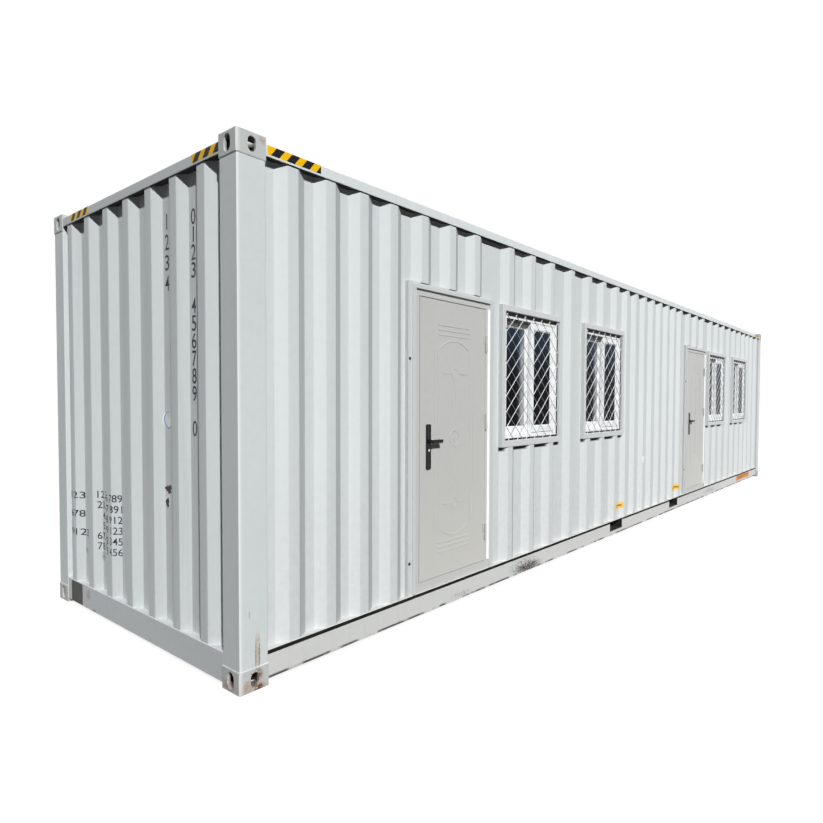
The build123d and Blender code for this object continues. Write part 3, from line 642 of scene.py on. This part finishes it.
def wallSheet(node, side, openings, finish):
    sheet, line, axis, place = walls[side]
    low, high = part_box(node)
    start, end = runsOf(node, axis)
    inside = [edge for edge in openings if start < edge[0] < end]
    cuts = np.array(inside).reshape(-1, 4)
    bends = bendsIn(line, start + 0.001, end - 0.001)
    runs = np.unique(np.concatenate([[start, end], bends, cuts[:, 0], cuts[:, 1]]))
    rows = np.unique(np.concatenate([np.linspace(low[2], high[2], sheet["rows"]), cuts[:, 2], cuts[:, 3]]))
    run, z = np.meshgrid(runs, rows)
    depth = wallDepth(sheet, line, run, z)
    lean = np.gradient(depth, runs, axis=1)
    square = sheet["thick"] / np.hypot(1, lean)
    outer = place(run, depth, z)
    inner = place(np.clip(run - lean * square, start, end), depth + square, z)
    midRun, midRow = np.meshgrid((runs[1:] + runs[:-1]) / 2, (rows[1:] + rows[:-1]) / 2)
    keep = np.ones(midRun.shape, bool)
    for left, right, foot, top in inside:
        keep &= ~((midRun > left) & (midRun < right) & (midRow > foot) & (midRow < top))
    piece = makePiece(node.replace("wall", "sheet"), thickSheet(outer, inner, keep), finish)
    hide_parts(node)


for node in ("left", "over_door_1", "middle", "over_door_2", "right"):
    wallSheet("front_wall_" + node, "front", frontOpenings, cabinPaint)
wallSheet("back_wall", "back", [], cabinPaint)
wallSheet("left_end_wall", "left", [], endPaint)
wallSheet("right_end_wall", "right", [], endPaint)

railShadeStrip = {"edge": 0.0075, "thick": 0.0018, "sink": 0.0006}


def railShadePiece(side, node, look):
    # painted shade: a flat dark strip under the roof rail, from just behind the rail's face to the folded sheet
    sheet, line, axis, place = walls[side]
    start, end = runsOf(node, axis)
    run, share = np.meshgrid(np.concatenate([[start], bendsIn(line, start, end), [end]]), [0.0, 1.0])
    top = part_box(node)[1][2]
    sheetDepth = wallDepth(sheet, line, run, top) + look["sink"]
    depth = look["edge"] + share * (sheetDepth - look["edge"])
    shape = thickSheet(place(run, depth, top - look["thick"]), place(run, depth, top))
    makePiece(side + "_sealant", shape, sealantDark)


for side, node in (("back", "back_wall"), ("front", "back_wall"), ("left", "left_end_wall"),
                   ("right", "right_end_wall")):
    railShadePiece(side, node, railShadeStrip)


def filmOn(place, run, depth, z, film):
    # a film a little proud of the face, sunk a hair into it behind
    return thickSheet(place(run, depth - film, z), place(run, depth + film / 2, z))


lipShadow = {"foot": 0.1580, "top": 0.183, "webDepth": 0.018, "proud": 0.0008, "mouthFoot": 0.1785, "mouthPlate": 0.004,
          "mouthWide": 0.345}


def lipShadowPiece(side, look):
    # painted shadow: a thin dark strip on the web under the rail's lip, shallower over the mouths of the two forklift
    # pockets
    start, end = runsOf("bottom_side_rails", 0)
    low, high = runsOf("forklift_pocket_sides", 0)
    low, high = low + look["mouthPlate"], high - look["mouthPlate"]
    edges = [start, low, low + look["mouthWide"], high - look["mouthWide"], high, end]
    shapes = []
    for left, right, foot in zip(edges, edges[1:], 3 * [look["foot"], look["mouthFoot"]]):
        run, z = np.meshgrid(np.linspace(left, right, 5), [foot, look["top"]])
        shapes.append(filmOn(walls[side][3], run, look["webDepth"], z, look["proud"]))
    makePiece(side + "_lip_gap", joinShapes(shapes), gapBlack)


lipShadowPiece("front", lipShadow)
lipShadowPiece("back", lipShadow)
print("walls built")


# Roof: one sheet with pressed ribs across it, notched round the castings

roofRib = {"pitch": 0.209, "count": 55, "halfBase": 0.065, "taper": 0.018, "rise": 0.018, "halfLength": 1.089,
           "bend": 0.007, "thick": 0.002, "wave": 0.0012}


def roofSheet(look):
    # height is the lesser of a ribbed line along X and a tapered line along Y, so that each rib ends in a slope
    low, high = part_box("roof_panel")
    rise, halfLength = look["rise"], look["halfLength"]
    middles = look["pitch"] * (np.arange(look["count"]) - (look["count"] - 1) / 2)
    top = look["halfBase"] - look["taper"]
    knots = np.array([-look["halfBase"], -top, top, look["halfBase"]])
    along = np.stack([(middles[:, None] + knots).ravel(), np.tile([0, rise, rise, 0], len(middles))], -1)
    along = np.concatenate([[[low[0], 0]], along, [[high[0], 0]]])
    reach = halfLength - look["taper"]
    across = np.array([[low[1], 0], [-halfLength, 0], [-reach, rise], [reach, rise], [halfLength, 0], [high[1], 0]])
    along, across = softFolds(along, look["bend"], 4), softFolds(across, look["bend"], 4)
    notchX = highCorner[0] - (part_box("top_side_rails")[0][0] - lowCorner[0])
    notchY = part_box("left_end_wall")[1][1]
    xs = np.unique(np.concatenate([[low[0], -notchX, notchX, high[0]], along[:, 0]]))
    ys = np.unique(np.concatenate([[low[1], -notchY, notchY, high[1]], across[:, 0], np.linspace(-1, 1, 7)]))
    x, y = np.meshgrid(xs, ys)
    height = np.minimum(np.interp(x, *along.T), np.interp(y, *across.T))
    wave = look["wave"] * np.sin(1.3 * x + 0.4) * np.sin(2.2 * y) * np.clip((1.08 - np.abs(y)) / 0.2, 0, 1)
    under = xyz(x, y, low[2] + height + np.abs(wave))
    outer = under + (0, 0, look["thick"])
    midX, midY = np.meshgrid((xs[1:] + xs[:-1]) / 2, (ys[1:] + ys[:-1]) / 2)
    keep = ~((np.abs(midX) > notchX) & (np.abs(midY) > notchY))
    piece = makePiece("roof_sheet", thickSheet(outer, under, keep), roofPaint)
    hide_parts("roof_panel")


roofSheet(roofRib)
print("roof built")


# Window bars, beads, gaskets, and painted shade round the units

windowBars = {"wide": 0.145, "high": 0.135, "risingShift": 0.777, "fallingShift": 0.971, "strand": 0.0062,
              "backStrand": 0.0050, "thick": 0.0020, "risingLean": 42.0, "fallingLean": 58.0, "frontDepth": 0.0250,
              "backDepth": 0.0298, "member": 0.050, "edgeRadius": 0.002, "shortest": 0.02}
windowTrim = {"bead": 0.012, "beadTop": 0.003, "beadRise": 0.009, "beadFoot": 0.002, "gasket": 0.004,
              "gasketRise": 0.0016, "gasketFoot": 0.0008, "surround": 0.013, "proud": 0.0012, "behind": 0.001,
              "unitFace": 0.052, "trackLine": 0.005, "headTrack": 0.026, "headJoint": 0.033, "sillJoint": 0.019,
              "pane": 0.005, "strip": 0.0015, "stripEnd": 0.002, "trackDepth": 0.006, "trackGap": 0.02}


def barLines(left, right, foot, top, look, shift):
    # lines of one slope across a rectangle, spaced by the diamond's height and cut off at the edges
    lean = look["high"] / look["wide"]
    middle = (foot + top) / 2 - lean * (left + right) / 2
    count = math.ceil((top - foot + lean * (right - left)) / 2 / look["high"])
    starts = middle + look["high"] * (np.arange(-count, count + 1) + shift)
    xa = np.maximum(left, (foot - starts) / lean)
    xb = np.minimum(right, (top - starts) / lean)
    kept = xb - xa > look["shortest"]
    xa, xb, starts = xa[kept], xb[kept], starts[kept]
    return xa, lean * xa + starts, xb, lean * xb + starts


def windowBarsPiece(number, low, high, look):
    left, right = low[0] + look["member"], high[0] - look["member"]
    foot, top = low[2] + look["member"], high[2] - look["member"]
    frontY, backY = lowCorner[1] + look["frontDepth"], lowCorner[1] + look["backDepth"]
    sets = []
    for shift, lean, y, wide, way in ((look["risingShift"], look["risingLean"], frontY, look["strand"], 1),
                                      (look["fallingShift"], look["fallingLean"], backY, look["backStrand"], -1)):
        xa, za, xb, zb = barLines(left, right, foot, top, look, shift)
        xa, xb = (xa, xb) if way > 0 else (left + right - xa, left + right - xb)
        sets.append(strands(xyz(xa, y, za), xyz(xb, y, zb), wide, look["thick"], lean))
    turn = turns(10)
    ring = look["edgeRadius"] * np.stack([np.cos(turn) - 1, np.sin(turn)], -1) + np.array([0.0, frontY])
    border = framedProfile(*faceOf((left, 0.0, foot), (right, 0.0, top)), ring)
    makePiece(f"window_{number}_bars", joinShapes([sets[0], border]), meshWhite)
    # the back strands, greyer as painted shade
    makePiece(f"window_{number}_back_bars", sets[1], meshGrey)


def paneHalf(number):
    # half the width of one pane, read from the outer face's points
    points = meshArrays(cadNodes[f"window_{number}_glass"].data)[0]
    front = points[points[:, 1] < points[:, 1].min() + 0.001]
    return (front[:, 0].max() - front[:, 0].min()) / 2


def windowTrimPieces(number, look):
    # a sloping bead and a dark gasket round each pane, on its outer face and its inner one
    glassLow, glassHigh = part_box(f"window_{number}_glass")
    unitLow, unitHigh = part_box(f"window_{number}_sliding_unit")
    unitMiddle, unitHalf = faceOf(unitLow, unitHigh)
    glassMiddle, glassHalf = faceOf(glassLow, glassHigh)
    halfWidth, edge, lip, pane = paneHalf(number), -look["bead"], -look["bead"] - look["gasket"], look["pane"]
    bead = np.array([[0, 0], [0, look["beadRise"]], [-look["beadTop"], look["beadRise"]], [edge, look["beadFoot"]],
                     [edge, 0]])
    rubber = np.array([[edge, 0], [edge, look["gasketRise"]], [lip, look["gasketFoot"]], [lip, 0]])
    beads, gaskets_and_shade = [], []
    for middle, y in ((glassHigh[0] - halfWidth, glassLow[1]), (glassLow[0] + halfWidth, glassHigh[1] - pane)):
        place = ((middle, glassMiddle[1]), (halfWidth, glassHalf[1]))
        for face, way in ((y, -1), (y + pane, 1)):
            for profile, shapes in ((bead, beads), (rubber, gaskets_and_shade)):
                shapes.append(framedProfile(*place, profile * (1, way) + (0, face)))
    # a dark ring round the unit where it meets the steel frame, partly the real seam and partly painted shade; a tall
    # painted shadow at the head, a line at the sill and under the outer sash, and a dark open track over the inner one
    # as painted shade
    front, side, over = unitLow[1], -look["surround"], look["behind"]
    jointAndShade = np.array([[side, over], [side, -look["proud"]], [0, -look["proud"]], [0, over]])
    gaskets_and_shade.append(framedProfile(unitMiddle, unitHalf, jointAndShade + (0, front)))
    end, deep = look["stripEnd"], look["trackDepth"]
    span = (unitLow[0] + end, unitHigh[0] - end)
    left, right = unitLow[0] + look["unitFace"], unitHigh[0] - look["unitFace"]
    foot, top = unitLow[2] + look["unitFace"], unitHigh[2] - look["unitFace"]
    for x, z, sunk in ((span, (unitHigh[2] - look["headJoint"], unitHigh[2] - end), 0.0),
                       (span, (unitLow[2] + end, unitLow[2] + look["sillJoint"]), 0.0),
                       ((unitMiddle[0], right), (foot - over, foot + look["trackLine"]), deep),
                       ((left - over, unitMiddle[0] - look["trackGap"]), (top - look["headTrack"], top + over), deep)):
        x, z = np.meshgrid(x, z)
        y = front + sunk
        gaskets_and_shade.append(thickSheet(xyz(x, y - look["strip"], z), xyz(x, y + look["strip"], z)))
    makePiece(f"window_{number}_beads", joinShapes(beads), windowWhite)
    makePiece(f"window_{number}_gaskets", joinShapes(gaskets_and_shade), gasketBlack)


for number, (low, high) in enumerate(windowBoxes, start=1):
    windowBarsPiece(number, low, high, windowBars)
    windowTrimPieces(number, windowTrim)
print("windows dressed")


# Door fittings

doorFit = {"cylinder": 0.0095, "cylinderProud": 0.0015, "leverHalf": 0.013, "keyBelow": 0.062, "boltRadius": 0.011,
           "boltRise": 0.006, "boltHeights": {1: (0.410, 1.813), 2: (0.544, 1.813)}, "boltFromMiddle": -0.505,
           "trimDepth": 0.012, "jambFace": 0.045, "jambDepth": 0.020, "leafGap": 0.005,
           "beadWide": {1: 0.0150, 2: 0.0105}, "beadRise": 0.0125, "beadRows": 12}


def doorPieces(number, look):
    body = f"door_{number}"
    leafLow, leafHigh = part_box(body + "_leaf")
    plateLow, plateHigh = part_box(body + "_lock_plates")
    leafMiddle, leafHalf = faceOf(leafLow, leafHigh)

    # seal: a soft bulb on the stop, just clear of the leaf's back
    bulb = np.array([[-0.004, 0.005], [-0.006, 0.0012], [-0.010, 0.0006], [-0.014, 0.0012], [-0.016, 0.005]])
    seal = framedProfile(leafMiddle, leafHalf, bulb + (0, leafHigh[1]))
    makePiece(body + "_seal", seal, sealGrey)

    # a white strip down the corner between the hinge jamb and the proud trim, laid as a slope
    corner = leafHigh[0] + look["leafGap"] + look["jambFace"]
    slope = np.array([[-look["beadWide"][number], 0.0003], [-0.0002, 0.0003], [-0.0002, -look["beadRise"]],
                      [-0.0020, -look["beadRise"]]]) + (corner, lowCorner[1] + look["jambDepth"])
    z = np.linspace(leafLow[2], leafHigh[2] + look["leafGap"], look["beadRows"])[:, None]
    makePiece(body + "_jamb_bead", tube(xyz(slope[:, 0], slope[:, 1], z)), trimWhite)

    # key cylinders: a dished collar on both faces
    keyX = (plateLow[0] + plateHigh[0]) / 2
    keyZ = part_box(body + "_lever")[0][2] + look["leverHalf"] - look["keyBelow"]
    r, proud = look["cylinder"], look["cylinderProud"]
    dish = np.array([[0, 0], [r, 0], [r, 0.7 * proud], [r - 0.0012, proud], [r - 0.003, proud],
                     [r - 0.004, 0.4 * proud], [0, 0.4 * proud]])
    collars = [turned(dish * (1, way), (keyX, face, keyZ)) for face, way in ((plateLow[1], -1), (plateHigh[1], 1))]
    makePiece(body + "_key_collars", joinShapes(collars), keySteel, body)

    # anchor bolts in the frame's left trim
    r, rise = look["boltRadius"], look["boltRise"]
    dome = np.array([[0, 0.004], [r, 0.004], [r, -0.002], [0.8 * r, -0.8 * rise], [0.4 * r, -rise], [0, -rise]])
    boltX, boltY = leafMiddle[0] + look["boltFromMiddle"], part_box(body + "_frame")[0][1] + look["trimDepth"]
    bolts = [turned(dome, (boltX, boltY, height), 20) for height in look["boltHeights"][number]]
    makePiece(body + "_frame_bolts", joinShapes(bolts), boltDark)


for number in (1, 2):
    doorPieces(number, doorFit)
print("doors dressed")


# Tapes, decals and numbers: thin films that follow the steel under them

tapeLook = {"foot": 2.8165, "top": 2.8635, "film": 0.0005, "railDepth": 0.005, "endLead": 0.0115}
sideTapes = ((0.190, 0.552, 1), (11.640, 12.002, -1))
endTapes = ((0.162, 0.438, -1), (1.813, 2.131, -1))


def tapePieces(look):
    for side, (_, _, axis, place) in walls.items():
        spans, lead = (endTapes, look["endLead"]) if axis else (sideTapes, 0.0)
        shapes, runs = [], []
        for start, end, way in spans:
            run, z = np.meshgrid(np.linspace(start, end, 5), [look["foot"], look["top"]])
            shapes.append(filmOn(place, run, look["railDepth"], z, look["film"]))
            along = way * (run - (start if way > 0 else end)) + lead
            follow = xyz(along, z - look["foot"], 0.0).reshape(-1, 3)
            runs += [follow, follow]
        makePiece(side + "_hazard_tapes", joinShapes(shapes), hazardTape, runs=np.concatenate(runs))


tapePieces(tapeLook)

film = 0.0007
# start, end, foot and top of the wall's decals, and the printed bar on each
pocketDecals = {"first_pocket_decal": (4.834, 5.096, 0.288, 0.361), "second_pocket_decal": (6.786, 7.112, 0.282, 0.366)}
decalBar = {"inset": 0.03, "rows": np.array([0.40, 0.62]), "films": 1.6}
# wall, start, end, foot, top, depth of the face, columns and rows, finish, how many films thick
railDecals = {"rail_decal": ("front", 10.434, 11.413, 0.065, 0.179, 0.018, 9, 3, decalOrange, 1.0),
              "end_rail_patch": ("left", 2.013, 2.211, 0.028, 0.180, 0.006, 9, 3, decalDark, 1.0),
              "rail_decal_bar": ("front", 10.534, 11.313, 0.107, 0.133, 0.018, 2, 2, decalBrown, 1.6)}
# wall, run and height of the middle, reach both ways, raggedness of the rim, finish, how many films thick
roundPatches = {"end_disc": ("left", 0.811, 1.408, 0.060, 0.065, 0.0, decalWhite, 1.0),
                "end_disc_ring": ("left", 0.811, 1.408, 0.052, 0.056, 0.02, decalBlue, 1.5),
                "end_disc_middle": ("left", 0.811, 1.408, 0.042, 0.045, 0.03, decalWhite, 2.0),
                "torn_film": ("left", 0.828, 0.950, 0.024, 0.056, 0.10, decalWhite, 1.0),
                "torn_film_head": ("left", 0.818, 0.990, 0.034, 0.024, 0.22, decalDark, 1.5),
                "torn_film_foot": ("left", 0.834, 0.908, 0.019, 0.027, 0.16, decalDark, 1.5),
                "side_spot": ("front", 5.690, 0.811, 0.046, 0.042, 0.12, decalWhite, 1.0)}


def filmPiece(name, side, run, z, finish, films, depth=None):
    sheet, line, _, place = walls[side]
    depth = wallDepth(sheet, line, run, z) if depth is None else depth
    makePiece(name, filmOn(place, run, depth, z, films * film), finish)


def pocketDecal(name, start, end, foot, top, bar):
    barRows = foot + bar["rows"] * (top - foot)
    for ending, inset, rows, finish, films in (("", 0.0, np.linspace(foot, top, 3), decalYellow, 1.0),
                                               ("_bar", bar["inset"], barRows, decalBrown, bar["films"])):
        first, last = start + inset, end - inset
        run, z = np.meshgrid(np.concatenate([[first], bendsIn(frontLine, first, last), [last]]), rows)
        filmPiece(name + ending, "front", run, z, finish, films)


def railDecal(name, side, start, end, foot, top, depth, cols, rows, finish, films):
    run, z = np.meshgrid(np.linspace(start, end, cols), np.linspace(foot, top, rows))
    filmPiece(name, side, run, z, finish, films, depth)


def roundPatch(name, side, middleRun, middleZ, wide, high, ragged, finish, films):
    # a disc mapped from a square grid, its rim drawn in and out by a few sine waves where it is torn
    u, v = np.meshgrid(np.linspace(-1, 1, 25), np.linspace(-1, 1, 25))
    across, up = u * np.sqrt(1 - v * v / 2), v * np.sqrt(1 - u * u / 2)
    angle = np.arctan2(up, across)
    rim = 1 + ragged * (np.sin(3 * angle + 1) + 0.6 * np.sin(7 * angle) + 0.4 * np.sin(13 * angle + 2))
    filmPiece(name, side, middleRun + wide * rim * across, middleZ + high * rim * up, finish, films)


for name, row in pocketDecals.items():
    pocketDecal(name, *row, decalBar)
for name, row in railDecals.items():
    railDecal(name, *row)
for name, row in roundPatches.items():
    roundPatch(name, *row)

endNumbers = {
    "firstColumn": {"text": "0123 456789 0", "run": 0.511, "top": 2.602, "pitch": 0.0994, "height": 0.088},
    "secondColumn": {"text": "1234", "run": 0.812, "top": 2.629, "pitch": 0.1207, "height": 0.092},
}
figureLook = {"wide": 0.046, "oneWide": 0.012, "thin": 0.004}
endTable = {
    "left": {"rows": (("123 45", 0.29), ("678", 0.14), ("912345", 0.30)), "run": 2.20, "top": 0.850, "pitch": 0.136},
    "right": {"rows": (("12.3456 789", 0.34), ("23.4567 891", 0.34), (" 4.5678 912", 0.30), (" 5.6789 123", 0.30),
                       ("67.8912 345", 0.34), ("78.9123 456", 0.34)), "run": 1.795, "top": 0.886, "pitch": 0.0728},
    "height": 0.050, "indent": 0.04,
}


def digitShape(text, height, width):
    # plain figures: filled outlines of the built-in font, made a mesh and scaled to the height and width given
    curve = bpy.data.curves.new("figures", "FONT")
    curve.body = text
    curve.extrude = 0.01
    curve.offset = figureLook["thin"]
    holder = bpy.data.objects.new("figures", curve)
    mesh = bpy.data.meshes.new_from_object(holder)
    points, faces = meshArrays(mesh)
    low, high = points.min(0), points.max(0)
    points[:, :2] = (points[:, :2] - low[:2]) / (high[:2] - low[:2]) * (width, height)
    bpy.data.objects.remove(holder)
    bpy.data.curves.remove(curve)
    bpy.data.meshes.remove(mesh)
    return points, faces


def layOnEnd(shapes):
    # flat figures, cut along each bend of the end wall, then laid on the sheet; from outside they run to lesser run
    shape = joinShapes(shapes)
    mesh = newMesh("figures", shape)
    work = bmesh.new()
    work.from_mesh(mesh)
    for bend in bendsIn(endLine, shape[0][:, 0].min(), shape[0][:, 0].max()):
        parts = work.verts[:] + work.edges[:] + work.faces[:]
        bmesh.ops.bisect_plane(work, geom=parts, dist=1e-7, plane_co=(bend, 0, 0), plane_no=(1, 0, 0))
    bmesh.ops.triangulate(work, faces=work.faces[:])
    work.to_mesh(mesh)
    work.free()
    points, faces = meshArrays(mesh)
    bpy.data.meshes.remove(mesh)
    run, z = points[:, 0], points[:, 1]
    depth = wallDepth(endSheet, endLine, run, z) - np.where(points[:, 2] > 0, film, -film / 2)
    return walls["left"][3](run, depth, z), faces


def placed(shape, left, foot):
    # a figure's own (across, up, out) points moved to their run and height on the wall
    return shape[0] * (-1, 1, 1) + (left, foot, 0), shape[1]


def numberPieces():
    for name, look in endNumbers.items():
        shapes = []
        for place, figure in enumerate(look["text"]):
            if figure != " ":
                width = figureLook["oneWide"] if figure == "1" else figureLook["wide"]
                foot = look["top"] - look["height"] - place * look["pitch"]
                shapes.append(placed(digitShape(figure, look["height"], width), look["run"] + width / 2, foot))
        makePiece("end_numbers_" + name, layOnEnd(shapes), numberPaint)
    shapes, height = [], endTable["height"]
    for look in (endTable["left"], endTable["right"]):
        for place, (words, width) in enumerate(look["rows"]):
            left = look["run"] - (endTable["indent"] if words[0] == " " else 0.0)
            shapes.append(placed(digitShape(words, height, width), left, look["top"] - height - place * look["pitch"]))
    makePiece("end_table", layOnEnd(shapes), numberPaint)


numberPieces()
print("tapes, decals and numbers placed")


# Weld beads where the posts stand on the castings

weldBead = {"radius": 0.0045, "ripple": 0.10, "inset": 0.0055, "lift": 0.001, "endSteps": 49, "sideSteps": 55}


def weldPieces(look):
    # a round bead along the post's two faces, its radius swelling with each ripple
    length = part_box("top_side_rails")[0][0] - lowCorner[0]
    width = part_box("left_end_wall")[0][1] - lowCorner[1]
    inset, corner = look["inset"], look["endSteps"]
    path = np.concatenate([np.linspace((inset, width), (inset, inset), corner + 1),
                           np.linspace((inset, inset), (length, inset), look["sideSteps"] + 1)[1:]])
    step = np.arange(len(path))
    radius = look["radius"] * (1 + look["ripple"] * np.cos(np.pi * step))[:, None]
    inwards = np.stack([step <= corner, step >= corner], -1).astype(float)
    flat = path[:, None] + (radius * np.cos(turns(8)))[:, :, None] * inwards[:, None]
    rise = look["lift"] + radius * np.sin(turns(8))
    shapes = []
    for height, way in ((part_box("bottom_corner_castings")[1][2], 1), (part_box("top_corner_castings")[0][2], -1)):
        for sideX, sideY in ((-1, -1), (-1, 1), (1, -1), (1, 1)):
            x, y = sideX * (highCorner[0] - flat[:, :, 0]), sideY * (highCorner[1] - flat[:, :, 1])
            shapes.append(tube(xyz(x, y, height + way * rise)))
    makePiece("casting_welds", joinShapes(shapes), seamPaint)


weldPieces(weldBead)
print("welds laid")


# Studio: pale floor, white surround, one soft sun

studio = {"sunTurn": 26.8, "sunHeight": 37.0, "sunPower": 3.95, "sunAngle": 1.6, "ambient": 0.03, "fill": 1.9,
          "fillFrom": (0.62, 0.62, 0.48), "fillTone": (0.84, 0.93, 1.0, 1.0), "floorReach": 60.0, "floorGlow": 0.8,
          "glowFrom": 7.0, "glowFull": 22.0, "floorLight": 1.06, "floorTone": (0.08, 0.08, 0.08, 1.0),
          "floorSeen": (0.92, 0.92, 0.92, 1.0)}


def emptyTree(owner):
    owner.use_nodes = True
    owner.node_tree.nodes.clear()
    return owner.node_tree


def seenRays(tree):
    # 1 for rays that look at the stage straight, in a mirror or through glass, and all that is known of the ray
    rays = addNode(tree, "LightPath").outputs
    seen = calc("MAXIMUM", rays["Is Camera Ray"], rays["Is Glossy Ray"])
    return calc("MAXIMUM", seen, rays["Is Transmission Ray"]), rays


def mixOut(outKind, share, first, second):
    mix = addNode(share.id_data, "MixShader", {0: share, 1: first.outputs[0], 2: second.outputs[0]})
    addNode(share.id_data, outKind, {0: mix.outputs[0]})


def studioParts(look):
    lamp = bpy.data.lights.new("sun", "SUN")
    lamp.energy = look["sunPower"]
    lamp.angle = math.radians(look["sunAngle"])
    turn, rise = math.radians(look["sunTurn"]), math.radians(look["sunHeight"])
    towards = Vector((-math.sin(turn) * math.cos(rise), -math.cos(turn) * math.cos(rise), math.sin(rise)))
    addObject("sun", lamp).rotation_euler = towards.to_track_quat("Z", "Y").to_euler()

    world = bpy.data.worlds.new("studio")
    bpy.context.scene.world = world
    tree = emptyTree(world)
    seen, rays = seenRays(tree)
    seen = times(seen, calc("LESS_THAN", rays["Diffuse Depth"], 0.5))
    ways = addNode(tree, "TexCoord").outputs["Generated"]
    fill = times(fade(vectorCalc("DOT_PRODUCT", ways, look["fillFrom"]), 0.45, 0.95, 0.0, look["fill"]),
                 fade(split(ways)[1], 0.05, 0.45))
    strength = calc("ADD", fill, look["ambient"])
    soft = addNode(tree, "Background", {"Color": look["fillTone"], "Strength": strength})
    white = addNode(tree, "Background", {"Color": (1.0, 1.0, 1.0, 1.0)})
    mixOut("OutputWorld", seen, soft, white)

    corners = look["floorReach"] * np.array([[-1, -1, 0], [1, -1, 0], [1, 1, 0], [-1, 1, 0]])
    floor = addObject("studioFloor", newMesh("studioFloor", (corners, np.arange(4)[None])))
    material = bpy.data.materials.new("studioFloor")
    tree = emptyTree(material)
    seen, _ = seenRays(tree)
    away = vectorCalc("LENGTH", addNode(tree, "TexCoord").outputs["Object"])
    glow = fade(away, look["glowFrom"], look["glowFull"], look["floorGlow"], 1.0)
    matte = addNode(tree, "BsdfDiffuse", {"Color": blend(seen, look["floorTone"], look["floorSeen"])})
    light = addNode(tree, "Emission", {"Strength": look["floorLight"]})
    mixOut("OutputMaterial", times(glow, seen), matte, light)
    floor.data.materials.append(material)


studioParts(studio)

# Camera at the photograph's place: looking along the ground bearing, with a slight dip and roll
cameraLook = {"place": (-7.831, -3.911, 1.531), "bearing": 50.22, "dip": -1.88, "roll": 0.21, "focal": 603.6,
              "middleU": 427.1, "middleV": 420.0, "imageSize": 823.0, "sensor": 36.0, "farthest": 500.0}


def studioCamera(look):
    data = bpy.data.cameras.new("camera")
    data.sensor_width = look["sensor"]
    data.lens = look["focal"] * look["sensor"] / look["imageSize"]
    data.shift_x = (look["imageSize"] / 2 - look["middleU"]) / look["imageSize"]
    data.shift_y = (look["middleV"] - look["imageSize"] / 2) / look["imageSize"]
    data.clip_end = look["farthest"]
    camera = addObject("camera", data)
    bearing, dip, roll = (math.radians(look[key]) for key in ("bearing", "dip", "roll"))
    ahead = Vector((math.sin(bearing) * math.cos(dip), math.cos(bearing) * math.cos(dip), math.sin(dip)))
    right = Vector((math.cos(bearing), -math.sin(bearing), 0))
    up = right.cross(ahead)
    rolledRight = math.cos(roll) * right + math.sin(roll) * up
    rolledUp = math.cos(roll) * up - math.sin(roll) * right
    facing = Matrix((rolledRight, rolledUp, -ahead)).transposed().to_4x4()
    camera.matrix_world = Matrix.Translation(look["place"]) @ facing
    bpy.context.scene.camera = camera


studioCamera(cameraLook)
bpy.context.scene.view_settings.view_transform = "Standard"
print("studio ready")
